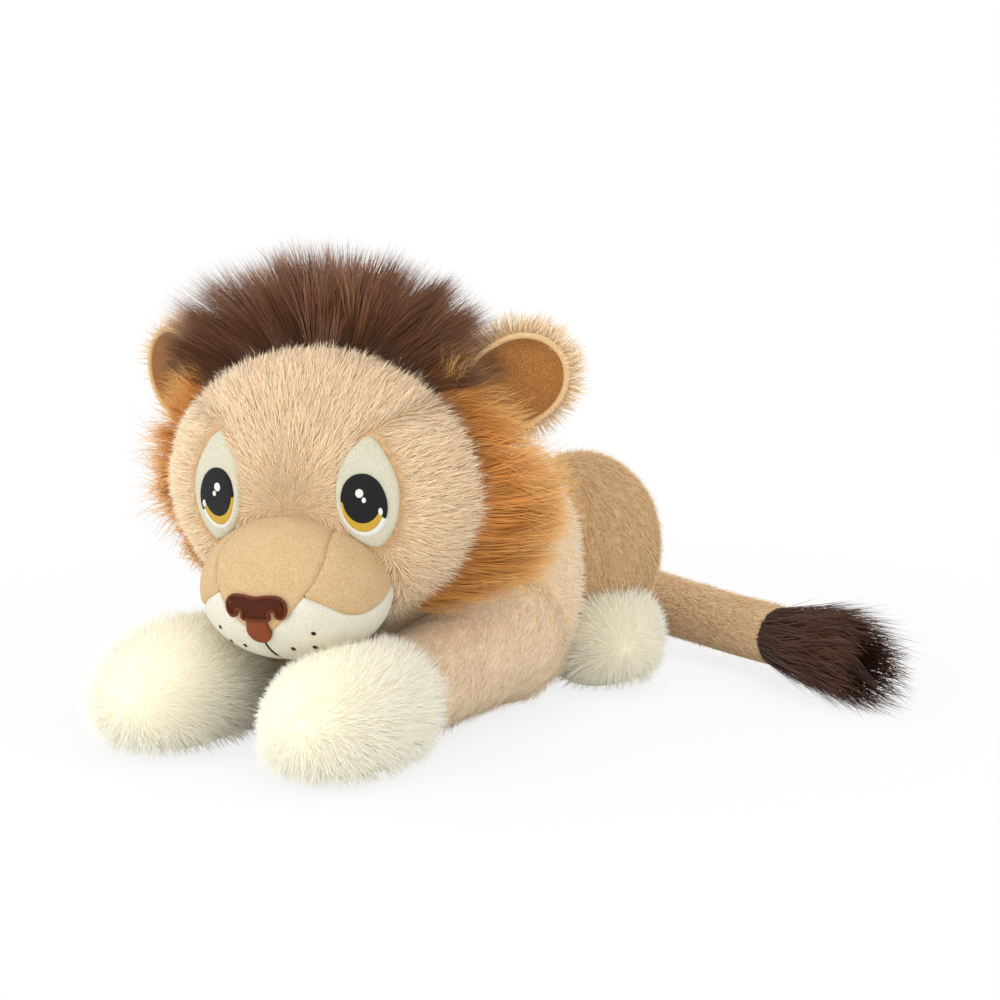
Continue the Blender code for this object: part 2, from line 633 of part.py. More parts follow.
def mane_back_cell(back, across):
    """The root, lean and pile length of the short mane over the back of the head."""
    turn = MANE_BACK_HALF_SPAN * (across * 2 - 1)
    level = MANE_BACK_FRONT + (MANE_BACK_REAR - MANE_BACK_FRONT) * back
    lean = Vector((math.sin(turn) * math.sin(level), -math.cos(level) * MANE_BACK_BACKWARD_SHARE,
                   math.cos(turn) * math.sin(level)))
    return on_back(turn, level), lean.normalized(), MANE_BACK_PILE * (1 - MANE_BACK_THINNING_SHARE * back)


def ruff_cell(side):
    """The ruff at one side, from in front of the ear down to the chin."""
    def cell(down, back):
        turn = RUFF_TOP + (RUFF_BOTTOM - RUFF_TOP) * down
        past_ear = min(1, max(0, (turn - RUFF_EAR_LEVEL) / (RUFF_LOWEST_LEAN - RUFF_EAR_LEVEL)))
        rear = RUFF_REAR_AT_EAR + (RUFF_REAR - RUFF_REAR_AT_EAR) * past_ear
        root = on_back(turn * side, RUFF_FRONT + (rear - RUFF_FRONT) * back)
        out = min(turn, RUFF_LOWEST_LEAN)
        lean = Vector((math.sin(out) * side, between(RUFF_BACKWARD_SHARES, down), math.cos(out)))
        pile = RUFF_PILE * between(RUFF_PILE_SHARES, down) * (1 - RUFF_THINNING_SHARE * back)
        return root, lean.normalized(), pile
    return cell


node("mane_crest", pile_pad(6, 15, crest_cell), "#5C4436", parent=head)
node("mane_back", pile_pad(5, 17, mane_back_cell), "#4A3229", parent=head)
for side, word in ((1, "left"), (-1, "right")):
    node(f"ruff_{word}", pile_pad(13, 4, ruff_cell(side)), "#D9913E", parent=head)

# Ears: a plush bowl with a rolled rim, on a root roll that is round about the fold's axis, and its lining
EAR_TURN = math.radians(62)
EAR_YAW = math.radians(28)
EAR_BEHIND = 0.027
EAR_LENGTH = 0.080
EAR_HALF_WIDTH = 0.038
EAR_ROOT_RADIUS = 0.009
EAR_ROOT_CLEARANCE = 0.0010
EAR_MIDDLE_SHARE = 0.46
EAR_SKIN_SHARES = ((0, 0.9), (0.45, 1.0), (0.82, 0.95), (0.96, 0.6), (1, 0), (0.96, -0.6), (0.87, -1.0),
                   (0.79, -0.7), (0.68, -0.3), (0.36, -0.1), (0, -0.05))
EAR_LINING_THICKNESS = 0.0016
EAR_LINING_SHARES = ((0, -0.05), (0.36, -0.1), (0.655, -0.3))
EAR_ROOT_SQUARENESS_SHARE = 0.72
EAR_SEGMENTS = 18


def ear_ring(share, depth):
    """A ring of the ear's outline, shrunk by share towards its middle, at a depth behind its plane."""
    if share == 0:
        return [Vector((0, depth, EAR_LENGTH * EAR_MIDDLE_SHARE))]
    ring = []
    for t in ring_angles(EAR_SEGMENTS):
        rise = math.sin(t)
        above, below = EAR_LENGTH * (1 - EAR_MIDDLE_SHARE), EAR_LENGTH * EAR_MIDDLE_SHARE + EAR_ROOT_RADIUS
        reach = above if rise > 0 else below
        side = math.cos(t)
        if rise < 0:
            side = math.copysign(abs(side) ** EAR_ROOT_SQUARENESS_SHARE, side)
            rise = -abs(rise) ** EAR_ROOT_SQUARENESS_SHARE
        height = EAR_LENGTH * EAR_MIDDLE_SHARE + reach * share * rise
        ring.append(Vector((EAR_HALF_WIDTH * share * side, depth, height)))
    return ring


def ear_root(side):
    """The middle of the ear's fold axis, in the head's frame."""
    squash = math.sqrt(1 - (EAR_BEHIND / HEAD_BACK_DEPTH) ** 2)
    wide, tall = HEAD_HALF_WIDTH * squash, HEAD_HALF_HEIGHT * squash
    skin = 1 / math.sqrt((math.sin(EAR_TURN) / wide) ** 2 + (math.cos(EAR_TURN) / tall) ** 2)
    reach = skin + EAR_ROOT_RADIUS + EAR_ROOT_CLEARANCE
    return HEAD_CENTRE + Vector((math.sin(EAR_TURN) * side * reach, EAR_BEHIND, math.cos(EAR_TURN) * reach))


for side, word in ((1, "left"), (-1, "right")):
    ear = frame_at(f"ear_{word}_frame", ear_root(side), (0, EAR_TURN * side, EAR_YAW * side), head)
    skin = closed_form([ear_ring(share, EAR_ROOT_RADIUS * depth) for share, depth in EAR_SKIN_SHARES])
    node(f"ear_{word}_back", skin, "#E0C6A4", parent=ear)
    rear = [ear_ring(share, EAR_ROOT_RADIUS * depth - SEAM_GAP) for share, depth in EAR_LINING_SHARES]
    front = [ear_ring(share, EAR_ROOT_RADIUS * depth - SEAM_GAP - EAR_LINING_THICKNESS)
             for share, depth in EAR_LINING_SHARES]
    node(f"ear_{word}_lining", closed_form(rear + front[::-1]), "#D2984F", 0.85, parent=ear)

# Muzzle: five velour panels over a firm wad, sewn on the face
MUZZLE_HALF_WIDTH = 0.070
MUZZLE_DEPTH = 0.060
MUZZLE_UP = 0.057
MUZZLE_DOWN = 0.049
MUZZLE_CENTRE = HEAD_CENTRE + Vector((0, -0.050, -0.070))
MUZZLE_SEAM = 0.0006
MUZZLE_RIM = 118


def on_muzzle(turn, level, lift=0):
    """The muzzle's point at a turn from its top and an angle from the nose, in degrees, and its normal."""
    turn, level = math.radians(turn), math.radians(level)
    tall = MUZZLE_UP if math.cos(turn) > 0 else MUZZLE_DOWN
    point = Vector((MUZZLE_HALF_WIDTH * math.sin(level) * math.sin(turn), -MUZZLE_DEPTH * math.cos(level),
                    tall * math.sin(level) * math.cos(turn)))
    normal = Vector((point.x / MUZZLE_HALF_WIDTH ** 2, point.y / MUZZLE_DEPTH ** 2, point.z / tall ** 2))
    normal.normalize()
    return MUZZLE_CENTRE + point + normal * lift, normal


def on_muzzle_front(x, z, lift=0):
    """The muzzle's point x aside and z above its middle, lifted off the surface."""
    tall = MUZZLE_UP if z > 0 else MUZZLE_DOWN
    sine = math.hypot(x / MUZZLE_HALF_WIDTH, z / tall)
    turn = math.atan2(x / MUZZLE_HALF_WIDTH, z / tall)
    return on_muzzle(math.degrees(turn), math.degrees(math.asin(min(1, sine))), lift)[0]


# Seams of the muzzle's left side as (turn, level) in degrees, from the nose out to the face
BRIDGE_SEAM = ((76, 33), (62, 41), (49, 52), (38, 66), (30, 84), (25, 101), (22, MUZZLE_RIM))
LIP_SEAM = ((76, 33), (90, 45), (98, 57), (98, 72), (92, 88), (86, 104), (84, MUZZLE_RIM))
NOSE_LEVEL = -20
LIP_START_LEVEL = 20
WAD_LEVEL_STEP = 20
BROW_SHARES = (0.12, 0.25, 0.5, 0.75)


def seam_grid(first, second, columns, side):
    """Grid points and normals between two seams, which have a point each per row."""
    points, normals = [], []
    for (turn_a, level_a), (turn_b, level_b) in zip(first, second):
        row = [on_muzzle((turn_a + (turn_b - turn_a) * c / (columns - 1)) * side,
                         level_a + (level_b - level_a) * c / (columns - 1)) for c in range(columns)]
        points.append([cell[0] for cell in row])
        normals.append([cell[1] for cell in row])
    return drawn_in(points, MUZZLE_SEAM), normals


head_outside = closed_form(head_dome(0, FACE_RINGS, True) + head_dome(0, BACK_RINGS, False)[::-1])
face_block = cutter("face_block", grown(head_outside, SEAM_GAP), parent=head)


def muzzle_piece(name, mesh, colour):
    """A piece of the muzzle, cut where it meets the face."""
    piece = node(name, mesh, colour, 0.9, parent=head)
    cut(piece, face_block)
    return piece


def map_place(turn, level):
    """A turn and a level as places aside and above on a flat map of the muzzle, in degrees."""
    return math.sin(math.radians(turn)) * level, math.cos(math.radians(turn)) * level


def from_map(aside, above):
    """A place on the flat map as a turn and a level."""
    return math.degrees(math.atan2(aside, above)), math.hypot(aside, above)


peak_aside, peak_above = map_place(*BRIDGE_SEAM[0])
brow_line = tuple(from_map(peak_aside * share, NOSE_LEVEL + (peak_above - NOSE_LEVEL) * share ** 2)
                  for share in BROW_SHARES)


def bridge_grid(columns):
    """The bridge between its two seams. Its lower edge bows down to the top of the nose."""
    points, normals = [], []
    for turn, level in BRIDGE_SEAM:
        row = []
        for c in range(columns):
            across = c / (columns - 1) * 2 - 1
            aside, above = map_place(turn, level)
            out = (level - BRIDGE_SEAM[0][1]) / (MUZZLE_RIM - BRIDGE_SEAM[0][1])
            crown = (NOSE_LEVEL - above) * (1 - out) ** 4 + (level - above) * out
            row.append(on_muzzle(*from_map(aside * across, above + crown * (1 - across ** 2))))
        points.append([cell[0] for cell in row])
        normals.append([cell[1] for cell in row])
    return drawn_in(points, MUZZLE_SEAM), normals


points, normals = bridge_grid(9)
muzzle_piece("muzzle_bridge", panel(points, normals, 0, VELOUR_WALL), "#DDBB8A")
lip_edge = brow_line + LIP_SEAM
middle_edge = tuple((180, LIP_START_LEVEL + (MUZZLE_RIM - LIP_START_LEVEL) * r / (len(lip_edge) - 1))
                    for r in range(len(lip_edge)))
for side, word in ((1, "left"), (-1, "right")):
    points, normals = seam_grid(BRIDGE_SEAM[1:], LIP_SEAM[1:], 6, side)
    muzzle_piece(f"muzzle_cheek_{word}", panel(points, normals, 0, VELOUR_WALL), "#DDBB8A")
    points, normals = seam_grid(lip_edge, middle_edge, 7, side)
    muzzle_piece(f"muzzle_lip_{word}", panel(points, normals, 0, VELOUR_WALL), "#E6E3D4")
wad_rings = [[on_muzzle(math.degrees(t), level, -WAD_GAP)[0] for t in ring_angles(16)]
             for level in range(WAD_LEVEL_STEP, MUZZLE_RIM + WAD_LEVEL_STEP, WAD_LEVEL_STEP)]
muzzle_piece("muzzle_filling", closed_form([[on_muzzle(0, 0, -WAD_GAP)[0]]] + wad_rings
                                           + [[HEAD_CENTRE + Vector((0, 0, -MUZZLE_UP))]]), FILLING_COLOUR)

# Eyes: a cream patch let into the face, and on it the embroidery
PATCH_SINK = 0.004
PATCH_CLEARANCE = 0.0006
PATCH_BED_GAP = 0.0014
PATCH_X = 0.063
PATCH_Z = 0.006
PATCH_HALF_WIDTH = 0.023
PATCH_HALF_HEIGHT = 0.040
PATCH_OUTLINE_SHARES = ((-0.04, 1.0), (0.65, 0.6), (1.0, 0.05), (0.87, -0.55), (0.3, -1.0), (-0.35, -0.9),
                        (-0.87, -0.55), (-1.0, 0), (-0.78, 0.55))
PATCH_POINTS = 24
OPENING_REACH = 0.015
EYE_X = 0.060
EYE_Z = 0.004
PUPIL_HALF_WIDTH = 0.0135
PUPIL_HALF_HEIGHT = 0.0165
THREAD = 0.0012
THREAD_SEAM = 0.0004
IRIS_WIDTH = 0.0075
WHITE_WIDTH = 0.0036
IRIS_START = math.radians(188)
IRIS_END = math.radians(346)
CRESCENT_TIP_SHARE = 0.12
CRESCENT_COLUMNS = 11
GLINT_ASIDE = -0.002
GLINT_UP = 0.003
GLINT_RADIUS = 0.0034
eye_base = -PATCH_SINK + SEAM_GAP


def shaped(shares, x, z, half_width, half_height):
    """The points of an outline whose shares are of its half width and half height about its middle."""
    return [Vector((x + half_width * aside, z + half_height * up)) for aside, up in shares]


def face_side(side):
    """The face's place function for one side of the head."""
    return lambda x, z, lift: on_face(x * side, z, lift)


def crescent(name, start, width, colour, side):
    """A crescent under the pupil: start is its gap from the pupil's edge and width its greatest width."""
    points, leans = [], []
    for row in range(3):
        line, ups = [], []
        for c in range(CRESCENT_COLUMNS):
            share = c / (CRESCENT_COLUMNS - 1)
            t = IRIS_START + (IRIS_END - IRIS_START) * share
            swell = CRESCENT_TIP_SHARE + (1 - CRESCENT_TIP_SHARE) * math.sin(math.pi * share)
            out = start * (swell if start > THREAD_SEAM else 1) + width * swell * row / 2
            x = EYE_X + (PUPIL_HALF_WIDTH + out + THREAD_SEAM) * math.cos(t)
            z = EYE_Z + (PUPIL_HALF_HEIGHT + out + THREAD_SEAM) * math.sin(t)
            line.append(on_face(x * side, z))
            ups.append((on_face(x * side, z, THREAD) - on_face(x * side, z)).normalized())
        points.append(line)
        leans.append(ups)
    node(name, panel(points, leans, eye_base, eye_base + THREAD), colour, 0.5, parent=head)


for side, word in ((1, "left"), (-1, "right")):
    place = face_side(side)
    corners = shaped(PATCH_OUTLINE_SHARES, PATCH_X, PATCH_Z, PATCH_HALF_WIDTH, PATCH_HALF_HEIGHT)
    outline = smooth_loop(corners, PATCH_POINTS)
    middle = sum(outline, Vector((0, 0))) / len(outline)
    wider = [point + (point - middle).normalized() * PATCH_CLEARANCE for point in outline]
    opening = plate(wider, place, -OPENING_REACH, OPENING_REACH)
    cut(face_cover, cutter(f"eye_{word}_opening", opening, parent=head))
    patch = plate(outline, place, PATCH_BED_GAP - PLUSH_WALL, -PATCH_SINK)
    node(f"eye_{word}_patch", patch, "#F2F0DE", parent=head)
    pupil = [Vector((EYE_X + PUPIL_HALF_WIDTH * math.cos(t), EYE_Z + PUPIL_HALF_HEIGHT * math.sin(t)))
             for t in ring_angles(20)]
    node(f"eye_{word}_pupil", plate(pupil, place, eye_base, eye_base + THREAD), EYE_BLACK, 0.5, parent=head)
    crescent(f"eye_{word}_iris", 0, IRIS_WIDTH, "#C79A2B", side)
    crescent(f"eye_{word}_white", IRIS_WIDTH + THREAD_SEAM, WHITE_WIDTH, "#F4F3EA", side)
    glint_base = eye_base + THREAD + SEAM_GAP
    glint = [Vector((EYE_X + GLINT_ASIDE * side + GLINT_RADIUS * math.cos(t), EYE_Z + GLINT_UP
                     + GLINT_RADIUS * math.sin(t))) for t in ring_angles(10)]
    node(f"eye_{word}_glint", plate(glint, place, glint_base, glint_base + THREAD / 2, 1), "#FBFBF6", 0.5,
         parent=head)

# Nose, mouth and whisker dots, on the muzzle's panels
NOSE_LIFT = VELOUR_WALL + SEAM_GAP
NOSE_THICKNESS = 0.003
NOSE_HALF_WIDTH = 0.0255
NOSE_HALF_HEIGHT = 0.00775
NOSE_Z = -0.00125
NOSE_OUTLINE_SHARES = ((0, 1.0), (0.51, 0.94), (0.86, 0.42), (1.0, -0.23), (0.71, -1.0), (0.49, -0.74),
                       (0.27, -0.81))
NOSE_POINTS = 24
BULB_HALF_WIDTH = 0.0105
BULB_HALF_HEIGHT = 0.0085
BULB_Z = -0.0175
BULB_OUTLINE_SHARES = ((0, 1.0), (0.81, 0.98), (1.0, 0.24), (0.52, -0.59), (0, -1.0))
MOUTH_WIDTH = 0.0012
MOUTH_LENGTH = 0.016
MOUTH_ROWS = 6
DOT_RADIUS = 0.0014
DOT_PLACE_SHARES = ((0.27, -0.65), (0.57, -0.39), (0.5, -0.67))


def both_halves(half):
    """A closed outline from its left half, which starts and may end on the middle line."""
    return half + tuple((-x, z) for x, z in half[::-1] if x > 0)


nose_front = NOSE_LIFT + NOSE_THICKNESS
nose_corners = shaped(both_halves(NOSE_OUTLINE_SHARES), 0, NOSE_Z, NOSE_HALF_WIDTH, NOSE_HALF_HEIGHT)
nose = smooth_loop(nose_corners, NOSE_POINTS)
node("nose_top", plate(nose, on_muzzle_front, NOSE_LIFT, nose_front), "#55200F", 0.6, parent=head)
bulb = shaped(both_halves(BULB_OUTLINE_SHARES), 0, BULB_Z, BULB_HALF_WIDTH, BULB_HALF_HEIGHT)
node("nose_bulb", plate(bulb, on_muzzle_front, NOSE_LIFT, nose_front), "#8B4526", 0.6, parent=head)
mouth_top = BULB_Z - BULB_HALF_HEIGHT - THREAD_SEAM
mouth_points, mouth_leans = [], []
for r in range(MOUTH_ROWS):
    z = mouth_top - MOUTH_LENGTH * r / (MOUTH_ROWS - 1)
    row = [on_muzzle_front(x, z) for x in (-MOUTH_WIDTH / 2, MOUTH_WIDTH / 2)]
    above = [on_muzzle_front(x, z, THREAD) for x in (-MOUTH_WIDTH / 2, MOUTH_WIDTH / 2)]
    mouth_points.append(row)
    mouth_leans.append([(high - low).normalized() for low, high in zip(row, above)])
mouth = panel(mouth_points, mouth_leans, NOSE_LIFT, NOSE_LIFT + THREAD)
node("mouth_line", mouth, "#2A1A14", 0.6, parent=head)
for side, word in ((1, "left"), (-1, "right")):
    for number, (aside, up) in enumerate(DOT_PLACE_SHARES, 1):
        x, z = MUZZLE_HALF_WIDTH * aside, MUZZLE_DOWN * up
        spot = [Vector((x * side + DOT_RADIUS * math.cos(t), z + DOT_RADIUS * math.sin(t)))
                for t in ring_angles(8)]
        dot = plate(spot, on_muzzle_front, NOSE_LIFT, NOSE_LIFT + THREAD, 1)
        node(f"whisker_dot_{word}_{number}", dot, "#1E1A18", 0.6, parent=head)
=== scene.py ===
"""Looks of a plush lion lying down: long-pile plush, a stand-up mane, a velour muzzle and sewn eyes."""
import math

import bmesh
import bpy
from mathutils import Euler, Matrix, Vector
from mathutils.bvhtree import BVHTree


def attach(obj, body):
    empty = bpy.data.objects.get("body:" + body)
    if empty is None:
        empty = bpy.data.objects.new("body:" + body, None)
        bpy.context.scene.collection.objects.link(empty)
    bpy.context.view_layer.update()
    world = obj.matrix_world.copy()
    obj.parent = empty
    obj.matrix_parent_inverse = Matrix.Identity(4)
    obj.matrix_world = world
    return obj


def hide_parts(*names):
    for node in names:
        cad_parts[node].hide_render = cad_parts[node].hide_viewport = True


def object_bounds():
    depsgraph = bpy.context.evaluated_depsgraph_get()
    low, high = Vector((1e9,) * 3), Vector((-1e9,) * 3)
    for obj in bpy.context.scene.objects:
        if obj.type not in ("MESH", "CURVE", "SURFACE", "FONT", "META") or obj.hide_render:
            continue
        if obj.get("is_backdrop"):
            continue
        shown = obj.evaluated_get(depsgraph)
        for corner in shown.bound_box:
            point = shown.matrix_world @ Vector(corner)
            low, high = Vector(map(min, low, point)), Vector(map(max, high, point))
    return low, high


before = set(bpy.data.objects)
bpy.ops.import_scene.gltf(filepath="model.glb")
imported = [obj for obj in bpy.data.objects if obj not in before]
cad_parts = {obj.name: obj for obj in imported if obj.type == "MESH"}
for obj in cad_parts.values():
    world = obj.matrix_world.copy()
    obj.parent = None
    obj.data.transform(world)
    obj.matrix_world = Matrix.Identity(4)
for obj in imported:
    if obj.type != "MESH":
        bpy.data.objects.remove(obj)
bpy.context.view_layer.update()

# Trunk: a long bag of pale plush, round at the neck and flat under the belly, filled with polyester fibre.
# The cloth is a knit backing with a pile of 13 mm that is combed towards the tail. The belly has none, as it
# is pressed flat.
ASIDE, UP = Vector((1, 0, 0)), Vector((0, 0, 1))
# Painted light: the pale plush of the trunk and forelegs is coloured paler than on the face, against the shade
# under the head.
ARM_LIT_ROOT, ARM_LIT_MIDDLE, ARM_LIT_TIP = "#EACDA6", "#FEE8C8", "#FFF8E6"
CLOTH_SPECULAR = 0.25
FIBRE_MIDDLE = 0.45
FIBRE_SHEEN = 0.8
BACKING_ROUGHNESS = 0.95
# The loops of a real knit are about 1 mm. Its mottle is drawn at 3.5 mm, so that it shows between the fibres.
BACKING_GRAIN = 0.0035
BACKING_RELIEF = 0.0015
PILE_FOOT = 0.0065
TRUNK_START = Vector((0, -0.120, 0.100))
NECK_RADIUS = 0.085
TRUNK_REAR = 0.252
TRUNK_HALF_WIDTH = 0.132
TRUNK_HEIGHT = 0.208
TRUNK_WIDTH_SHARES = ((0, NECK_RADIUS / TRUNK_HALF_WIDTH), (0.34, 1.0), (0.68, 0.69), (1, 0.69))
TRUNK_TOP_SHARES = ((0, (TRUNK_START.z + NECK_RADIUS) / TRUNK_HEIGHT), (0.3, 0.97), (0.62, 1.0), (1, 0.94))
TRUNK_BELLY_SHARES = ((0, 1), (0.14, 0), (1, 0))
RUMP_START_SHARE = 0.55
RUMP_TIP_SHARE = 0.42
TRUNK_MIDDLE_SHARE = 0.46
TRUNK_MIDDLE_RISE = 4
TRUNK_SQUARE = 1.35
TRUNK_SQUARE_RISE = 5
BELLY_INSET_SHARE = 0.4
FLOOR_CLEARANCE = 0.0006
BURIED_START, BURIED_REACH = 0.001, 0.010
PRESSED_HEIGHT, PRESSED_SLOPE = 0.012, -0.6
PILE_ATTRIBUTES = (("comb", "FLOAT_VECTOR"), ("pile_length", "FLOAT"), ("pile_density", "FLOAT"),
                   ("pile_tone", "FLOAT"))
GROWN_ATTRIBUTES = (("tone", "FLOAT"), ("height", "FLOAT"))
PILE_INPUTS = (("Skin", "Geometry"), ("Spacing", "Float"), ("Length", "Float"), ("Least Share", "Float"),
               ("Thickness", "Float"), ("Bend", "Float"), ("Lift", "Float"), ("Scatter", "Float"),
               ("Lock Size", "Float"), ("Lock Pull", "Float"), ("Segments", "Int"), ("Seed", "Int"),
               ("Fibre", "Material"))
COMMON_PILE = {"Least Share": 0.7, "Bend": 0.25, "Lift": 0.5, "Scatter": 0.25, "Lock Size": 0.012,
               "Lock Pull": 0.8, "Segments": 1}
FIBRE_FLATNESS = 0.3
# How far each of the three shapes of fibre bends over and sways aside.
FIBRE_SHAPES = ((0.4, -0.13), (1.0, 0.04), (1.6, 0.15))
# Each random draw: its kind, the first of its two limits' sockets, the limits, and its shift of the seed.
FIBRE_DRAWS = (("stray", "FLOAT_VECTOR", 0, (-1, -1, -1), (1, 1, 1), 11), ("tone", "FLOAT", 2, 0.0, 1.0, 23),
               ("length", "FLOAT", 2, 0.0, 1.0, 37), ("shape", "INT", 4, 0, len(FIBRE_SHAPES) - 1, 51))
# More roots than fit at the spacing, so that the spacing alone decides how many stay.
ROOTS_PER_SPACING = 1.2
# On the fibres' map, U runs over the tones, and each fibre is a sliver of its own width there.
FIBRE_MAP_START, FIBRE_MAP_SPAN, FIBRE_MAP_WIDTH = 0.02, 0.94, 0.008


def linear(hex_code):
    """The linear colour of an sRGB hex value."""
    parts = [int(hex_code[i:i + 2], 16) / 255 for i in (1, 3, 5)]
    return [p / 12.92 if p <= 0.04045 else ((p + 0.055) / 1.055) ** 2.4 for p in parts] + [1]


def add(tree, kind, inputs=None, stops=(), **settings):
    """Adds a node. A setting is a property of it, and an input is a value, a socket, or a node whose first
    output is meant. A colour ramp also takes its stops, each a place and a hex colour."""
    made = tree.nodes.new(kind)
    for name, value in settings.items():
        setattr(made, name, value)
    for name, value in (inputs or {}).items():
        if isinstance(value, bpy.types.Node):
            value = value.outputs[0]
        if isinstance(value, bpy.types.NodeSocket):
            tree.links.new(value, made.inputs[name])
        else:
            made.inputs[name].default_value = value
    for _ in stops[2:]:
        made.color_ramp.elements.new(0.5)
    for element, (place, hex_code) in zip(made.color_ramp.elements if stops else (), stops):
        element.position = place
        element.color = linear(hex_code)
    return made


def new_material(name, roughness):
    """A material with its shader set apart from its colour, and the shader."""
    material = bpy.data.materials.new(name)
    material.use_nodes = True
    shader = material.node_tree.nodes["Principled BSDF"]
    shader.inputs["Roughness"].default_value = roughness
    shader.inputs["Specular IOR Level"].default_value = CLOTH_SPECULAR
    return material, shader


def pile_material(name, root, middle, tip, darkest=0.80, lightest=1.10, roughness=0.75):
    """Plush fibres, coloured from root to tip, each of its own tone. The map's U is tone, and V height."""
    material, shader = new_material(name, roughness)
    tree = material.node_tree
    place = add(tree, "ShaderNodeSeparateXYZ", {0: add(tree, "ShaderNodeUVMap", uv_map="OFBake")}).outputs
    body = add(tree, "ShaderNodeValToRGB", {"Fac": place["Y"]},
               stops=((0.0, root), (FIBRE_MIDDLE, middle), (1.0, tip)))
    tone = add(tree, "ShaderNodeMapRange", {"Value": place["X"], "To Min": darkest, "To Max": lightest})
    grey = add(tree, "ShaderNodeCombineColor", {"Red": tone, "Green": tone, "Blue": tone})
    mixed = add(tree, "ShaderNodeMix", {"Factor": 1.0, "A": body, "B": grey}, data_type="RGBA",
                blend_type="MULTIPLY")
    tree.links.new([s for s in mixed.outputs if s.type == "RGBA"][0], shader.inputs["Base Color"])
    shader.inputs["Sheen Weight"].default_value = FIBRE_SHEEN
    shader.inputs["Sheen Roughness"].default_value = FIBRE_SHEEN
    shader.inputs["Sheen Tint"].default_value = linear(tip)
    return material


def backing_material(name, dark, light):
    """The knit that carries a pile, as it shows between the fibres: mottled by their feet, and matt."""
    material, shader = new_material(name, BACKING_ROUGHNESS)
    tree = material.node_tree
    place = add(tree, "ShaderNodeTexCoord").outputs["Object"]
    mottle = add(tree, "ShaderNodeTexNoise", {"Vector": place, "Scale": 1 / BACKING_GRAIN, "Detail": 3.0})
    colour = add(tree, "ShaderNodeValToRGB", {"Fac": mottle}, stops=((0.35, dark), (0.65, light)))
    bump = add(tree, "ShaderNodeBump", {"Height": mottle, "Distance": BACKING_RELIEF, "Strength": 0.8})
    tree.links.new(colour.outputs[0], shader.inputs["Base Color"])
    tree.links.new(bump.outputs[0], shader.inputs["Normal"])
    return material


def between(shares, share):
    """A value read from a table of (place, value) shares by a smooth step."""
    for (a, first), (b, second) in zip(shares, shares[1:]):
        if share <= b:
            t = (share - a) / (b - a)
            return first + (second - first) * t * t * (3 - 2 * t)
    return shares[-1][1]


def section(middle, aside, rise, across, up, down, count, square=1.0, top_square=1.0):
    """A ring of points about a middle, as wide as across and, below and above it, as square as asked."""
    points = []
    for i in range(count):
        turn = 2 * math.pi * (i + 0.5) / count - math.pi / 2
        side, lift = math.cos(turn), math.sin(turn)
        power = 1 / (square if lift < 0 else top_square)
        side = math.copysign(abs(side) ** power, side)
        lift = math.copysign(abs(lift) ** power, lift)
        points.append(middle + aside * (across * side) + rise * ((up if lift > 0 else down) * lift))
    return points


def closed_mesh(rings, place=None, hoop=False):
    """A closed mesh through rings of points. A ring of one point is a pole, and a hoop has no poles."""
    mesh = bmesh.new()
    loops = [[mesh.verts.new(point) for point in ring] for ring in rings]
    for first, second in zip(loops, loops[1:] + (loops[:1] if hoop else [])):
        for i in range(max(len(first), len(second))):
            corners = [first[i % len(first)], first[(i + 1) % len(first)],
                       second[(i + 1) % len(second)], second[i % len(second)]]
            mesh.faces.new(list(dict.fromkeys(corners)))
    bmesh.ops.recalc_face_normals(mesh, faces=mesh.faces)
    if place:
        mesh.transform(place)
    return mesh


def piece(name, mesh, material, body, slot, replaced=(), smooth=True):
    """Puts a mesh in the scene as a piece that rides on a body and stands for CAD nodes."""
    if isinstance(mesh, bmesh.types.BMesh):
        data = bpy.data.meshes.new(name)
        mesh.to_mesh(data)
        mesh.free()
    else:
        data = mesh
        data.name = name
    if smooth:
        data.shade_smooth()
    else:
        data.shade_flat()
    data.materials.clear()
    data.materials.append(material)
    made = bpy.data.objects.new(name, data)
    bpy.context.scene.collection.objects.link(made)
    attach(made, body)
    if replaced:
        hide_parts(*replaced)
    return made


def cad_tree():
    """All CAD surfaces in one search tree, which tells where one piece is covered by another."""
    points, faces = [], []
    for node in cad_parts.values():
        start = len(points)
        points += [node.matrix_world @ v.co for v in node.data.vertices]
        faces += [[start + i for i in p.vertices] for p in node.data.polygons]
    return BVHTree.FromPolygons(points, faces)


covering = cad_tree()


def above_floor(data):
    """Lifts the points of a mesh that would touch the floor."""
    for vert in data.vertices:
        vert.co.z = max(vert.co.z, FLOOR_CLEARANCE)


def pile_attributes(data):
    """The point attributes that the pile is grown from."""
    for name, kind in PILE_ATTRIBUTES:
        data.attributes.new(name, kind, "POINT")
    return [data.attributes[name] for name, kind in PILE_ATTRIBUTES]


def comb(data, flow, foot, hug=True):
    """Writes on a skin's points which way the pile is combed, how long it is and how densely it grows."""
    direction, length, density, shade = pile_attributes(data)
    for i, vert in enumerate(data.vertices):
        asked = flow(vert.co, vert.normal)
        tangent = asked[0] - vert.normal * (asked[0].dot(vert.normal) if hug else 0)
        direction.data[i].vector = tangent.normalized() if tangent.length > 1e-9 else Vector((0, 0, 0))
        length.data[i].value = asked[1]
        shade.data[i].value = asked[3] if len(asked) > 3 else 0
        outside = vert.co + vert.normal * (foot + BURIED_START)
        hit = covering.ray_cast(outside, vert.normal, BURIED_REACH)[0]
        pressed = vert.co.z < PRESSED_HEIGHT and vert.normal.z < PRESSED_SLOPE
        density.data[i].value = 0 if hit or pressed else asked[2]


def one_way(x, y, z):
    """A flow that combs a whole pile in one direction."""
    return lambda at, normal: (Vector((x, y, z)), 1.0, 1.0)


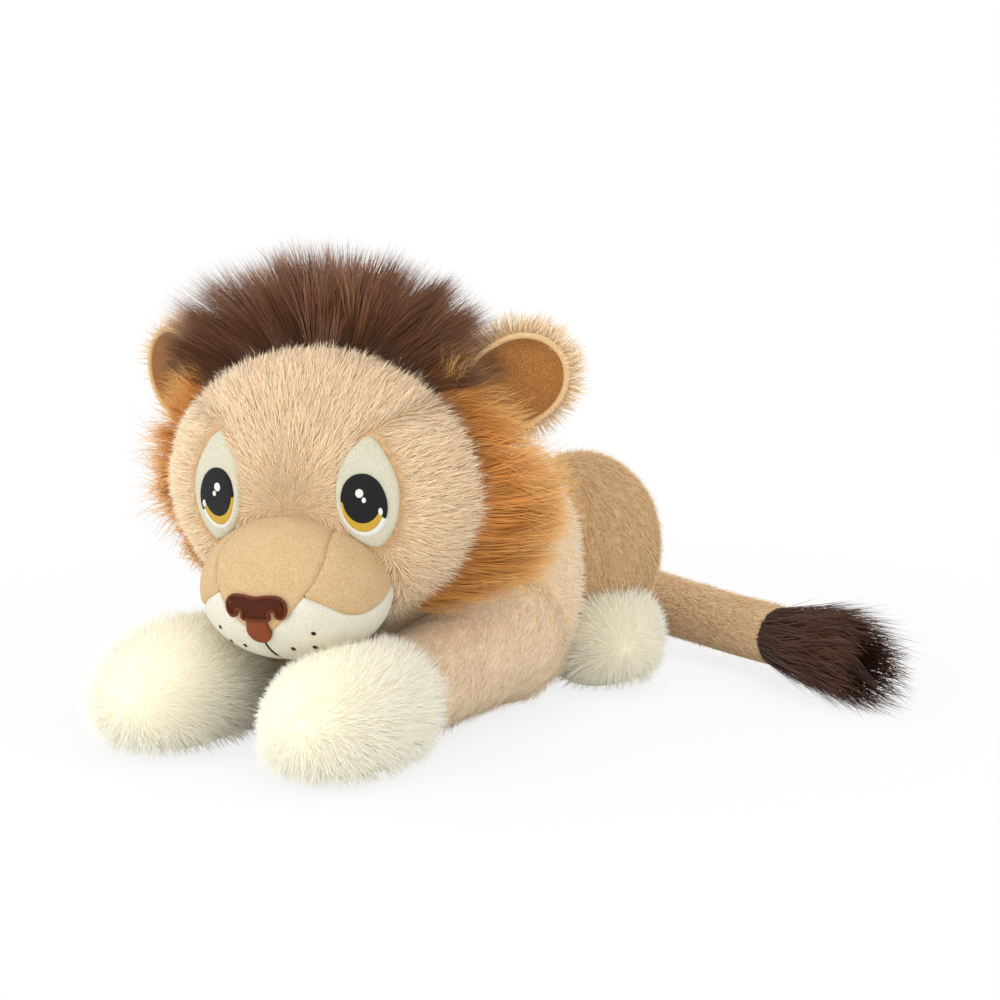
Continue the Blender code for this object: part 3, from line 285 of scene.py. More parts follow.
def pile_tree():
    """Geometry Nodes that set bent, tapered fibres on a skin along its combing, with their flats outwards."""
    tree = bpy.data.node_groups.new("pile", "GeometryNodeTree")
    for name, kind in PILE_INPUTS:
        tree.interface.new_socket(name, in_out="INPUT", socket_type="NodeSocket" + kind)
    tree.interface.new_socket("Pile", in_out="OUTPUT", socket_type="NodeSocketGeometry")
    given = add(tree, "NodeGroupInput").outputs
    written = {name: add(tree, "GeometryNodeInputNamedAttribute", {"Name": name}, data_type=kind)
               for name, kind in PILE_ATTRIBUTES + GROWN_ATTRIBUTES}
    drawn = {}
    for name, kind, socket, low, high, shift in FIBRE_DRAWS:
        seed = add(tree, "FunctionNodeIntegerMath", {0: given["Seed"], 1: shift})
        made = add(tree, "FunctionNodeRandomValue", {socket: low, socket + 1: high, "Seed": seed},
                   data_type=kind)
        drawn[name] = made.outputs[socket // 2]

    # The roots, no closer to each other than the spacing.
    area = add(tree, "ShaderNodeMath", {0: given["Spacing"], 1: given["Spacing"]}, operation="MULTIPLY")
    limit = add(tree, "ShaderNodeMath", {0: ROOTS_PER_SPACING, 1: area}, operation="DIVIDE")
    points = add(tree, "GeometryNodeDistributePointsOnFaces",
                 {"Mesh": given["Skin"], "Distance Min": given["Spacing"], "Density Max": limit,
                  "Density Factor": written["pile_density"], "Seed": given["Seed"]},
                 distribute_method="POISSON").outputs

    # Their headings: combed, lifted off the skin, drawn together into locks, and strayed a little each.
    lock = add(tree, "ShaderNodeMath", {0: 1.0, 1: given["Lock Size"]}, operation="DIVIDE")
    where = add(tree, "GeometryNodeInputPosition")
    waves = add(tree, "ShaderNodeTexNoise", {"Vector": where, "Scale": lock, "Detail": 1.0}).outputs["Color"]
    centred = add(tree, "ShaderNodeVectorMath", {0: waves, 1: (0.5, 0.5, 0.5)}, operation="SUBTRACT")
    raised, pulled, strayed = (
        add(tree, "ShaderNodeVectorMath", {0: push, "Scale": given[amount]}, operation="SCALE")
        for push, amount in ((points["Normal"], "Lift"), (centred, "Lock Pull"), (drawn["stray"], "Scatter")))
    combed = add(tree, "ShaderNodeVectorMath", {0: written["comb"], 1: raised}, operation="ADD")
    strewn = add(tree, "ShaderNodeVectorMath", {0: pulled, 1: strayed}, operation="ADD")
    heading = add(tree, "ShaderNodeVectorMath", {0: combed, 1: strewn}, operation="ADD")
    standing = add(tree, "FunctionNodeAlignRotationToVector", {"Vector": heading}, axis="Z")
    facing = add(tree, "FunctionNodeAlignRotationToVector",
                 {"Rotation": standing, "Vector": points["Normal"]}, axis="X", pivot_axis="Z")
    tone = add(tree, "ShaderNodeMath", {0: drawn["tone"], 1: written["pile_tone"]}, operation="ADD",
               use_clamp=True)
    roots = add(tree, "GeometryNodeStoreNamedAttribute",
                {"Geometry": points["Points"], "Name": "tone", "Value": tone},
                data_type="FLOAT", domain="POINT")

    # The fibres: three shapes of one flat spike, each a metre high, bent over and swayed aside.
    strands = add(tree, "GeometryNodeJoinGeometry")
    twice = add(tree, "ShaderNodeMath", {0: given["Length"], 1: 2.0}, operation="MULTIPLY")
    thin = add(tree, "ShaderNodeMath", {0: given["Thickness"], 1: twice}, operation="DIVIDE")
    for pull, sway in FIBRE_SHAPES:
        spike = add(tree, "GeometryNodeMeshCone",
                    {"Vertices": 3, "Side Segments": given["Segments"], "Radius Top": 0.0,
                     "Radius Bottom": thin, "Depth": 1.0}, fill_type="NGON")
        x, y, z = add(tree, "ShaderNodeSeparateXYZ", {0: add(tree, "GeometryNodeInputPosition")}).outputs
        noted = add(tree, "GeometryNodeStoreNamedAttribute",
                    {"Geometry": spike, "Name": "height", "Value": z}, data_type="FLOAT", domain="POINT")
        square = add(tree, "ShaderNodeMath", {0: z, 1: z}, operation="MULTIPLY")
        bulge = add(tree, "ShaderNodeMath", {0: 1.0, 1: z}, operation="ADD")
        flat = add(tree, "ShaderNodeMath", {0: x, 1: FIBRE_FLATNESS}, operation="MULTIPLY")
        full = add(tree, "ShaderNodeMath", {0: flat, 1: bulge}, operation="MULTIPLY")
        bend = add(tree, "ShaderNodeMath", {0: given["Bend"], 1: pull}, operation="MULTIPLY")
        drop = add(tree, "ShaderNodeMath", {0: square, 1: bend}, operation="MULTIPLY")
        bent = add(tree, "ShaderNodeMath", {0: full, 1: drop}, operation="SUBTRACT")
        wide = add(tree, "ShaderNodeMath", {0: y, 1: bulge}, operation="MULTIPLY")
        drift = add(tree, "ShaderNodeMath", {0: square, 1: sway}, operation="MULTIPLY")
        swayed = add(tree, "ShaderNodeMath", {0: wide, 1: drift}, operation="ADD")
        moved = add(tree, "ShaderNodeCombineXYZ", {0: bent, 1: swayed, 2: z})
        formed = add(tree, "GeometryNodeSetPosition", {"Geometry": noted, "Position": moved})
        alone = add(tree, "GeometryNodeGeometryToInstance", {0: formed})
        tree.links.new(alone.outputs[0], strands.inputs[0])

    # Their lengths, from the least share up, and the whole pile made real, mapped and coloured.
    rest = add(tree, "ShaderNodeMath", {0: 1.0, 1: given["Least Share"]}, operation="SUBTRACT")
    more = add(tree, "ShaderNodeMath", {0: rest, 1: drawn["length"]}, operation="MULTIPLY")
    share = add(tree, "ShaderNodeMath", {0: given["Least Share"], 1: more}, operation="ADD")
    longest = add(tree, "ShaderNodeMath", {0: given["Length"], 1: written["pile_length"]},
                  operation="MULTIPLY")
    size = add(tree, "ShaderNodeMath", {0: longest, 1: share}, operation="MULTIPLY")
    set_out = add(tree, "GeometryNodeInstanceOnPoints",
                  {"Points": roots, "Instance": strands, "Pick Instance": True,
                   "Instance Index": drawn["shape"], "Rotation": facing, "Scale": size})
    real = add(tree, "GeometryNodeRealizeInstances", {0: set_out})
    edge = add(tree, "ShaderNodeSeparateXYZ", {0: add(tree, "GeometryNodeInputNormal")})
    across = add(tree, "ShaderNodeMath", {0: written["tone"], 1: FIBRE_MAP_SPAN, 2: FIBRE_MAP_START},
                 operation="MULTIPLY_ADD")
    apart = add(tree, "ShaderNodeMath", {0: edge, 1: FIBRE_MAP_WIDTH, 2: across}, operation="MULTIPLY_ADD")
    spot = add(tree, "ShaderNodeCombineXYZ", {0: apart, 1: written["height"]})
    mapped = add(tree, "GeometryNodeStoreNamedAttribute", {"Geometry": real, "Name": "OFBake", "Value": spot},
                 data_type="FLOAT2", domain="CORNER")
    coloured = add(tree, "GeometryNodeSetMaterial", {"Geometry": mapped, "Material": given["Fibre"]})
    add(tree, "NodeGroupOutput", {0: coloured})
    return tree


pile = pile_tree()


def grow(name, skin, material, body, slot, replaced=(), **settings):
    """Grows a pile on a skin's mesh and keeps it as a plain mesh that stays above the floor."""
    carrier = bpy.data.objects.new(name + "_carrier", skin)
    bpy.context.scene.collection.objects.link(carrier)
    modifier = carrier.modifiers.new("pile", "NODES")
    modifier.node_group = pile
    asked = {**COMMON_PILE, "Seed": sum(map(ord, name)), "Fibre": material}
    asked.update({key.replace("_", " ").title(): value for key, value in settings.items()})
    for socket in pile.interface.items_tree:
        if socket.in_out == "INPUT" and socket.name in asked:
            modifier[socket.identifier] = asked[socket.name]
    graph = bpy.context.evaluated_depsgraph_get()
    data = bpy.data.meshes.new_from_object(carrier.evaluated_get(graph), depsgraph=graph)
    bpy.data.objects.remove(carrier, do_unlink=True)
    for spare, kind in PILE_ATTRIBUTES + GROWN_ATTRIBUTES:
        if spare in data.attributes:
            data.attributes.remove(data.attributes[spare])
    above_floor(data)
    piece(name, data, material, body, slot, replaced, smooth=False)


def trunk_rings(inset, count, steps):
    """Rings of the trunk from the front of the neck ball to the tip of the rump."""
    rings = [[TRUNK_START - Vector((0, NECK_RADIUS - inset, 0))]]
    for r in range(1, steps // 2):
        level = math.pi * r / steps
        radius = (NECK_RADIUS - inset) * math.sin(level)
        middle = TRUNK_START - Vector((0, (NECK_RADIUS - inset) * math.cos(level), 0))
        rings.append(section(middle, ASIDE, UP, radius, radius, radius, count))
    for r in range(steps):
        share = math.sin(math.pi / 2 * r / steps)
        closing = max(0, (share - RUMP_START_SHARE) / (1 - RUMP_START_SHARE))
        shrink = math.sqrt(max(0, 1 - closing ** 2))
        top = TRUNK_HEIGHT * between(TRUNK_TOP_SHARES, share)
        bottom = (TRUNK_START.z - NECK_RADIUS) * between(TRUNK_BELLY_SHARES, share)
        middle = TRUNK_HEIGHT * TRUNK_MIDDLE_SHARE - TRUNK_START.z
        middle = TRUNK_START.z + middle * min(1, share * TRUNK_MIDDLE_RISE)
        tip = TRUNK_HEIGHT * RUMP_TIP_SHARE
        height = tip + (middle - tip) * shrink
        square = 1 + (TRUNK_SQUARE - 1) * min(1, share * TRUNK_SQUARE_RISE)
        width = TRUNK_HALF_WIDTH * between(TRUNK_WIDTH_SHARES, share)
        y = TRUNK_START.y + (TRUNK_REAR - inset) * share
        rings.append(section(Vector((0, y, height)), ASIDE, UP, (width - inset) * shrink,
                             (top - middle - inset) * shrink,
                             (middle - bottom - inset * BELLY_INSET_SHARE) * shrink, count, square, square))
    rings.append([Vector((0, TRUNK_START.y + TRUNK_REAR - inset, TRUNK_HEIGHT * RUMP_TIP_SHARE))])
    return rings


def stuffed(name, rings, cloth, body, slot, replaced, flow, place=None, foot=PILE_FOOT, hug=True):
    """A stuffed form: its backing as a piece, with its combing written on it."""
    made = piece(name, closed_mesh(rings, place), cloth, body, slot, replaced)
    above_floor(made.data)
    comb(made.data, flow, foot, hug)
    return made.data


def plush(name, rings, cloth, fibre, body, slot, replaced, flow, place=None, foot=PILE_FOOT, hug=True, **fur):
    """A stuffed form and the pile that grows on it."""
    skin = stuffed(f"{name}_backing", rings, cloth, body, slot, replaced, flow, place, foot, hug)
    grow(f"{name}_pile", skin, fibre, body, slot, **fur)


# Polyester plush on a knit backing, here a pinkish beige: tips paler than roots give the pile its depth, and
# the backing is only a matt ground between them. It is painted paler than the same plush on the face, as light
# against the shade under the head. Every fibre is drawn about 1 mm thick, many times a real one, so that it
# shows.
arm_lit_backing = backing_material("pale_lit_knit_backing", "#E3C8A4", "#F6E2C6")
arm_lit_pile = pile_material("pale_lit_plush_fibre", ARM_LIT_ROOT, ARM_LIT_MIDDLE, ARM_LIT_TIP, 0.86, 1.08)
plush("trunk", trunk_rings(PILE_FOOT, 60, 34), arm_lit_backing, arm_lit_pile, "trunk", "pale_plush",
      ["body_cover", "body_filling"], one_way(0, 1, -0.3), spacing=0.0016, length=0.0130, thickness=0.0010)

# Forelegs: sleeves of the pale plush, sewn to long paws of cream plush with a softer, longer pile. The paws'
# fur stands up from a parting at their end, is longest at the cuff, and lies down where the chin rests. Each
# leg rides on a body of its own as one stuffed limb.
SIDES = ((1, "left"), (-1, "right"))
CREAM_ROOT, CREAM_MIDDLE, CREAM_TIP = "#FCF2D4", "#FCF8E6", "#FCFAF0"
SHOULDER = Vector((0.084, -0.090, 0.0595))
WRIST = Vector((0.078, -0.240, 0.0415))
SHOULDER_RADIUS = 0.060
WRIST_RADIUS = 0.042
SLEEVE_WIDTH_SHARES = ((0, 1), (0.3, 0.52), (0.65, 0.26), (1, 0))
SLEEVE_STEPS = 15
FOREPAW = Vector((0.075, -0.285, 0.0450))
FOREPAW_HALF = Vector((0.048, 0.080, 0.0455))
FOREPAW_TOP_SHARE = 0.84
PAW_SQUARE = 1.25
PAW_PILE_FOOT = -0.001
PAW_PARTING = Vector((0.42, -0.88, 0.22))
PAW_END_SHORTER, PAW_CUFF_LONGER = 0.20, 0.85
CHIN_SIDE = Vector((-0.5, -0.45, 0.74))
CHIN_REACH = 0.52
PAW_FUR = {"thickness": 0.0011, "bend": 0.30, "lift": 1.30, "scatter": 0.45, "lock_pull": 1.5,
           "least_share": 0.65}


def mirrored(point, side):
    """The point on the lion's left side, side 1, or on its right, side -1."""
    return Vector((point.x * side, point.y, point.z))


def tube_rings(path, radii, count, cap=8, rounded_end=True):
    """Rings of a stuffed tube along a path, with half balls at its ends."""
    steps = [(b - a).normalized() for a, b in zip(path, path[1:])]
    headings = [steps[0]] + [(a + b).normalized() for a, b in zip(steps, steps[1:])] + [steps[-1]]

    def ring(middle, heading, radius):
        aside = heading.cross(UP).normalized()
        return section(middle, aside, aside.cross(heading), radius, radius, radius, count)

    rings = [[path[0] - headings[0] * radii[0]]]
    for r in range(1, cap):
        level = math.pi / 2 * r / cap
        rings.append(ring(path[0] - headings[0] * radii[0] * math.cos(level), headings[0],
                          radii[0] * math.sin(level)))
    rings += [ring(*sample) for sample in zip(path, headings, radii)]
    if rounded_end:
        for r in range(cap - 1, 0, -1):
            level = math.pi / 2 * r / cap
            rings.append(ring(path[-1] + headings[-1] * radii[-1] * math.cos(level), headings[-1],
                              radii[-1] * math.sin(level)))
        rings.append([path[-1] + headings[-1] * radii[-1]])
    else:
        rings.append([path[-1]])
    return rings


def egg_rings(centre, half, heading, inset, count=44, steps=30, square=PAW_SQUARE):
    """Rings of a stuffed end that is long along its heading and flatter below."""
    aside = heading.cross(UP).normalized()
    rings = [[centre - heading * (half.y - inset)]]
    for r in range(1, steps):
        level = math.pi * r / steps
        middle = centre - heading * ((half.y - inset) * math.cos(level))
        radius = math.sin(level)
        rings.append(section(middle, aside, UP, (half.x - inset) * radius, (half.z - inset) * radius,
                             (half.z - inset * BELLY_INSET_SHARE) * radius, count, square))
    return rings + [[centre + heading * (half.y - inset)]]


def paw_flow(heading, top_share, chin):
    """Backwards from a parting at the paw's end, longer towards the cuff, and held down by the chin."""
    def flow(at, normal):
        ahead = normal.dot(heading)
        length = top_share + (1 - top_share) * abs(normal.x)
        length *= 1 - PAW_END_SHORTER * max(0, ahead) + PAW_CUFF_LONGER * max(0, -ahead)
        return -heading, length * (1 - CHIN_REACH * max(0, normal.dot(chin))), 1.0
    return flow


# Long-haired cream plush, nearly one colour from root to tip: it reads as soft, bright and evenly lit.
cream_backing = backing_material("cream_knit_backing", "#FFF4D6", "#FFFCEC")
cream_pile = pile_material("cream_plush_fibre", CREAM_ROOT, CREAM_MIDDLE, CREAM_TIP, 0.95, 1.06)
for side, word in SIDES:
    leg = f"foreleg_{word}"
    shoulder, wrist, paw = (mirrored(point, side) for point in (SHOULDER, WRIST, FOREPAW))
    shares = [i / SLEEVE_STEPS for i in range(SLEEVE_STEPS + 1)]
    path = [shoulder.lerp(wrist, share) for share in shares]
    radii = [WRIST_RADIUS + (SHOULDER_RADIUS - WRIST_RADIUS) * between(SLEEVE_WIDTH_SHARES, share) - PILE_FOOT
             for share in shares]
    plush(leg, tube_rings(path, radii, 44), arm_lit_backing, arm_lit_pile, leg, "pale_plush",
          [f"{leg}_cover", f"{leg}_filling"], one_way(0.25 * side, -1, -0.5),
          spacing=0.0013, length=0.0140, thickness=0.0009)
    plush(f"forepaw_{word}", egg_rings(paw, FOREPAW_HALF, Vector((0, -1, 0)), PAW_PILE_FOOT), cream_backing,
          cream_pile, leg, "cream_plush", [f"forepaw_{word}_cover"],
          paw_flow(PAW_PARTING.normalized(), FOREPAW_TOP_SHARE, mirrored(CHIN_SIDE, side)),
          spacing=0.00095, length=0.0210, **PAW_FUR)

# Hind legs: round haunches of tan plush, stuffed firmly and seamed to cream paws that point forwards and out.
# The haunch's pile is combed down, and the paw's like the forepaw's. Each leg rides on a body of its own.
THIGH = Vector((0.086, 0.046, 0.110))
THIGH_RADIUS = 0.072
THIGH_HALF_HEIGHT = 0.084
THIGH_STEPS = 32
HINDPAW_REACH = 0.032
HINDPAW_TURN = math.radians(55)
HINDPAW_HALF = Vector((0.046, 0.054, 0.043))
HINDPAW_HEIGHT = 0.0425
HAUNCH_WEIGHT = Vector((0, 0, 0.2))
TAN_ROOT, TAN_MIDDLE, TAN_TIP = "#B88E60", "#DDB886", "#F2DAB2"

# The same plush in tan, with darker roots: it shows its partings more than the pale one.
tan_backing = backing_material("tan_knit_backing", "#C39A6C", "#E2C094")
tan_pile = pile_material("tan_plush_fibre", TAN_ROOT, TAN_MIDDLE, TAN_TIP)
for side, word in SIDES:
    leg = f"hindleg_{word}"
    hip = mirrored(THIGH, side)
    rings = [[hip - Vector((0, 0, THIGH_HALF_HEIGHT - PILE_FOOT))]]
    for r in range(1, THIGH_STEPS):
        level = math.pi * r / THIGH_STEPS
        radius = (THIGH_RADIUS - PILE_FOOT) * math.sin(level)
        middle = hip - Vector((0, 0, (THIGH_HALF_HEIGHT - PILE_FOOT) * math.cos(level)))
        rings.append(section(middle, ASIDE, Vector((0, 1, 0)), radius, radius, radius, 48))
    rings.append([hip + Vector((0, 0, THIGH_HALF_HEIGHT - PILE_FOOT))])
    plush(leg, rings, tan_backing, tan_pile, leg, "tan_plush", [f"{leg}_cover", f"{leg}_filling"],
          one_way(0.1 * side, 0.5, -1), spacing=0.0014, length=0.0125, thickness=0.0009)
    heading = Vector((math.sin(HINDPAW_TURN) * side, -math.cos(HINDPAW_TURN), 0))
    centre = hip + heading * HINDPAW_REACH
    centre.z = HINDPAW_HEIGHT
    plush(f"hindpaw_{word}", egg_rings(centre, HINDPAW_HALF, heading, PAW_PILE_FOOT), cream_backing,
          cream_pile, leg, "cream_plush", [f"hindpaw_{word}_cover"], paw_flow(heading, 1.0, HAUNCH_WEIGHT),
          spacing=0.0010, length=0.0180, **PAW_FUR)

# Tail: a stuffed tube of tan plush with a shorter pile, sewn into the seam of the rump, where it turns, and a
# tuft of long dark pile, rooted on a thin core that is sewn into its end.
TAIL_POINTS = [Vector(p) for p in ((0, 0.130, 0.058), (0.014, 0.162, 0.051), (0.058, 0.180, 0.043),
                                   (0.116, 0.1675, 0.037), (0.176, 0.148, 0.033), (0.232, 0.1245, 0.033))]
TUFT_POINTS = [Vector(p) for p in ((0.232, 0.1245, 0.033), (0.282, 0.097, 0.033), (0.334, 0.059, 0.026),
                                   (0.384, 0.0185, 0.008))]
TAIL_RADIUS = 0.030
TAIL_PILE_FOOT = 0.005
TAIL_STEPS = 40
TUFT_CORE_RADIUS = 0.024
TUFT_CORE_SHARES = ((0, 1.0), (0.3, 0.92), (1, 0.12))
TUFT_STEPS, TUFT_CORE_STEPS = 24, 18
TUFT_PILE_FOOT = 0.016
BARE_END = -0.75


def smooth_line(points, count):
    """Points at even steps along a smooth curve through the given ones."""
    ends = [points[0] * 2 - points[1]] + list(points) + [points[-1] * 2 - points[-2]]
    line = []
    for i in range(count):
        spot = i / (count - 1) * (len(points) - 1)
        k = min(int(spot), len(points) - 2)
        t = spot - k
        a, b, c, d = ends[k:k + 4]
        line.append((b * 2 + (c - a) * t + (a * 2 - b * 5 + c * 4 - d) * t ** 2
                     + (b * 3 - a - c * 3 + d) * t ** 3) / 2)
    return line


def along(line):
    """A flow that follows the nearest stretch of a line, and leaves the end it starts from bare."""
    def flow(at, normal):
        k = min(range(len(line) - 1), key=lambda i: (line[i] - at).length)
        heading = (line[k + 1] - line[k]).normalized()
        return heading, 1.0, 0.0 if normal.dot(heading) < BARE_END else 1.0
    return flow


tail_line = smooth_line(TAIL_POINTS, TAIL_STEPS)
# The tan plush again, sheared shorter, so that it looks smoother, and painted paler than on the haunches, as
# light against the shade along the tail.
tail_lit_pile = pile_material("tail_lit_plush_fibre", "#EEC898", "#FFE8C0", "#FFF6E0", 0.90, 1.12)
tail_rings = tube_rings(tail_line, [TAIL_RADIUS - TAIL_PILE_FOOT] * TAIL_STEPS, 32, rounded_end=False)
plush("tail", tail_rings, tan_backing, tail_lit_pile, "tail", "tan_plush", ["tail_cover", "tail_filling"],
      along(tail_line), foot=TAIL_PILE_FOOT, spacing=0.0012, length=0.009, thickness=0.0009, lift=0.55)
tuft_line = smooth_line(TUFT_POINTS, TUFT_STEPS)
# Long dark brown hair: smoother fibre than plush, so that it shines along its locks over a nearly black root.
brown_backing = backing_material("brown_knit_backing", "#2A1B15", "#453027")
tuft_pile = pile_material("brown_tuft_fibre", "#200E08", "#3E2319", "#644636", 0.72, 1.15, 0.55)
tuft_radii = [TUFT_CORE_RADIUS * between(TUFT_CORE_SHARES, i / (TUFT_CORE_STEPS - 1))
              for i in range(TUFT_CORE_STEPS)]
skin = stuffed("tuft_core", tube_rings(tuft_line[:TUFT_CORE_STEPS], tuft_radii, 24), brown_backing, "tail",
               "brown_pile", ["tail_tuft"], along(tuft_line), foot=TUFT_PILE_FOOT, hug=False)
grow("tuft_pile", skin, tuft_pile, "tail", "brown_pile", spacing=0.0012, length=0.098, thickness=0.0013,
     bend=0.10, lift=0.20, scatter=0.08, lock_size=0.016, lock_pull=0.42, segments=3)

# Head: a plush ball in two halves, sewn along the mane. The pile of the face is combed outwards from between
# the eyes, is shorter round the patches, is painted darker there and in the crease of each brow as shade, and
# stands up in a short fringe along the mane. The back of the head is short brown pile.
HEAD_TILT, HEAD_YAW = math.radians(-1.5), math.radians(7)
HEAD_PLACE = Matrix.Translation(TRUNK_START) @ Euler((0, HEAD_TILT, HEAD_YAW)).to_matrix().to_4x4()
HEAD_CENTRE = Vector((0, -0.098, 0.094))
HEAD_HALF_WIDTH = 0.130
HEAD_HALF_HEIGHT = 0.106
FACE_DEPTH = 0.068
BACK_DEPTH = 0.080
PARTING = HEAD_CENTRE + Vector((0, -FACE_DEPTH, -0.012))
PARTING_LEAST, PARTING_REACH = 0.6, 0.05
FACE_FOOT = 0.007
EYE_OUTLINE_SHARES = ((-0.04, 1.0), (0.65, 0.6), (1.0, 0.05), (0.87, -0.55), (0.3, -1.0), (-0.35, -0.9),
                      (-0.87, -0.55), (-1.0, 0), (-0.78, 0.55))
PATCH_MIDDLE = Vector((0.063, 0.004))
PATCH_HALF = Vector((0.023, 0.042))
PATCH_BARE = 1.02
SHORT_LEAST, SHORT_FADE = 0.75, 1.2
MUZZLE_HALF_WIDTH = 0.070
MUZZLE_DEPTH = 0.060
MUZZLE_UP = 0.053
MUZZLE_DOWN = 0.049
MUZZLE_CENTRE = HEAD_CENTRE + Vector((0, -0.050, -0.070))
OVERLAP_START, OVERLAP_SPAN = 1.20, 0.12
OVERLAP_AWAY, OVERLAP_INWARD = 0.7, 0.9
SWIRL_DARKER = 0.9
SWIRL_REACH = 0.024
# Painted shade: the short pile round the patches and the crease of each brow are drawn darker.
SHORT_PILE_PAINTED_SHADE = 0.6
CREASE_START, CREASE_END = Vector((0.058, 0.044)), Vector((0.104, 0.070))
CREASE_REACH = 0.016
CREASE_WIDTH = 0.0035
CREASE_PAINTED_SHADE = 0.9
CREASE_DOWN, CREASE_UP = -0.9, 0.3
FRINGE_REACH = 0.011
FRINGE_LIFT = 0.8
FRINGE_LONGER = 0.10


def head_half(inset, front, count, steps):
    """Rings of the head's front or back half, from its pole to its rim."""
    depth = (FACE_DEPTH if front else BACK_DEPTH) - inset
    toward = Vector((0, -1 if front else 1, 0))
    rings = [[HEAD_CENTRE + toward * depth]]
    for r in range(1, steps + 1):
        level = math.pi / 2 * r / steps
        wide, tall = (HEAD_HALF_WIDTH - inset) * math.sin(level), (HEAD_HALF_HEIGHT - inset) * math.sin(level)
        middle = HEAD_CENTRE + toward * (depth * math.cos(level))
        rings.append(section(middle, ASIDE, UP, wide, tall, tall, count))
    return rings + [[HEAD_CENTRE]]


def eye_side(x, z):
    """How far a place on the face lies outside an eye's patch: 1 on its outline, less inside."""
    place = Vector(((abs(x) - PATCH_MIDDLE.x) / PATCH_HALF.x, (z - PATCH_MIDDLE.y) / PATCH_HALF.y))
    turn = math.atan2(place.y, place.x) % (2 * math.pi)
    corners = sorted((math.atan2(b, a) % (2 * math.pi), math.hypot(a, b)) for a, b in EYE_OUTLINE_SHARES)
    corners = [(corners[-1][0] - 2 * math.pi, corners[-1][1])] + corners + [(corners[0][0] + 2 * math.pi,
                                                                           corners[0][1])]
    for (a, near), (b, far) in zip(corners, corners[1:]):
        if turn <= b:
            return place.length / (near + (far - near) * (turn - a) / (b - a))
    return place.length


head_inverse = HEAD_PLACE.inverted()
head_turn = HEAD_PLACE.to_3x3()


def face_flow(at, normal):
    """Outwards from the parting, shorter round the eyes, over the muzzle's edge, none on the patches."""
    local = head_inverse @ at
    away = local - PARTING
    x, z = local.x, local.z - HEAD_CENTRE.z
    outside = eye_side(x, z)
    short = min(1, SHORT_LEAST + max(0, outside - 1) * SHORT_FADE)
    parting = min(1, max(PARTING_LEAST, away.length / PARTING_REACH))
    spot, crease = Vector((abs(x), z)) - CREASE_START, CREASE_END - CREASE_START
    off = (spot - crease * min(1, max(0, spot.dot(crease) / crease.length_squared))).length
    below = crease.cross(spot) < 0
    near = math.exp(-(off / CREASE_REACH) ** 2)
    # Painted shade round the patches and along each brow's crease, added to the darker tone at the swirl.
    swirl_and_painted_shade = -SWIRL_DARKER * math.exp(-(away.length / SWIRL_REACH) ** 2) - SHORT_PILE_PAINTED_SHADE * (1 - short)
    swirl_and_painted_shade -= CREASE_PAINTED_SHADE * math.exp(-(off / CREASE_WIDTH) ** 2)
    inward = MUZZLE_CENTRE - local
    beyond = Vector((inward.x / MUZZLE_HALF_WIDTH, inward.y / MUZZLE_DEPTH, inward.z / MUZZLE_UP)).length
    over = min(1, max(0, (OVERLAP_START - beyond) / OVERLAP_SPAN))
    heading = away.normalized() * (1 - over * OVERLAP_AWAY) + inward.normalized() * (over * OVERLAP_INWARD)
    heading.z += near * (CREASE_DOWN if below else CREASE_UP)
    heading = head_turn @ heading
    heading = (heading - normal * heading.dot(normal)).normalized()
    fringe = math.exp(-((local.y - HEAD_CENTRE.y) / FRINGE_REACH) ** 2)
    outward = head_turn @ Vector((x, 0, z)).normalized()
    return (heading + outward * (fringe * FRINGE_LIFT), short * parting * (1 + FRINGE_LONGER * fringe),
            1.0 if outside > PATCH_BARE else 0.0, swirl_and_painted_shade)


# Beige plush with a wide range of tones: brown feet and pale tips give the face its streaked, brushed look.
# Its backing is painted darker, as shade deep in the pile between the fibres.
face_shaded_backing = backing_material("face_shaded_knit_backing", "#B8936A", "#D2AE82")
face_pile = pile_material("face_plush_fibre", "#D6AE7E", "#F8DAB0", "#FFF0D6", 0.70, 1.17)
plush("face", head_half(FACE_FOOT, True, 150, 56), face_shaded_backing, face_pile, "head", "pale_plush",
      ["face_cover", "head_filling"], face_flow, HEAD_PLACE, FACE_FOOT, hug=False, spacing=0.00085,
      length=0.0145, thickness=0.0011, lift=0.45, scatter=0.24, lock_pull=0.85, bend=0.2)
# Short brown plush, matt and even: hardly seen under the mane.
back_pile = pile_material("brown_short_fibre", "#2B1C16", "#4F382D", "#6B5041", 0.75, 1.12)
plush("head_back", head_half(PILE_FOOT, False, 90, 30), brown_backing, back_pile, "head", "brown_pile",
      ["head_back_cover"], one_way(*(head_turn @ Vector((0, 1, -0.4)))), HEAD_PLACE, spacing=0.0018,
      length=0.014, thickness=0.0012)

# Mane: long open hair, set into the seam round the face. A brown crest stands up over the forehead in two
# rows, a shorter mane falls over the back of the head, and an orange ruff, also in two rows, frames each cheek
# from the ear to the chin.
CREST_LENGTH = 0.086
CREST_HALF_SPAN = math.radians(53)
CREST_LEVELS = (math.radians(86), math.radians(126))
CREST_LENGTH_SHARES = ((0, 0.80), (0.35, 1.0), (1, 0.72))
CREST_END_SHARES = ((0, 1.0), (0.6, 1.0), (1, 0.72))
CREST_ROWS = (("front", 0, 0.4), ("rear", 0.4, 1))
CREST_LEAN_SHARES = ((0, 0.0), (1, 0.75))
CREST_SPREAD = 1.45
CREST_RIGHT_SPREAD = 0.55
CREST_RIGHT_LONGER = 0.16
BACK_MANE_LENGTH = 0.050
BACK_MANE_HALF_SPAN = math.radians(64)
BACK_MANE_LEVELS = (math.radians(122), math.radians(166))
BACK_MANE_BACKWARD, BACK_MANE_DROP = 1.2, 0.25
BACK_MANE_SHORTER = 0.3
RUFF_LENGTH = 0.084
RUFF_TURNS = (math.radians(45), math.radians(146))
RUFF_EAR = math.radians(82)
RUFF_FRONT = math.radians(88)
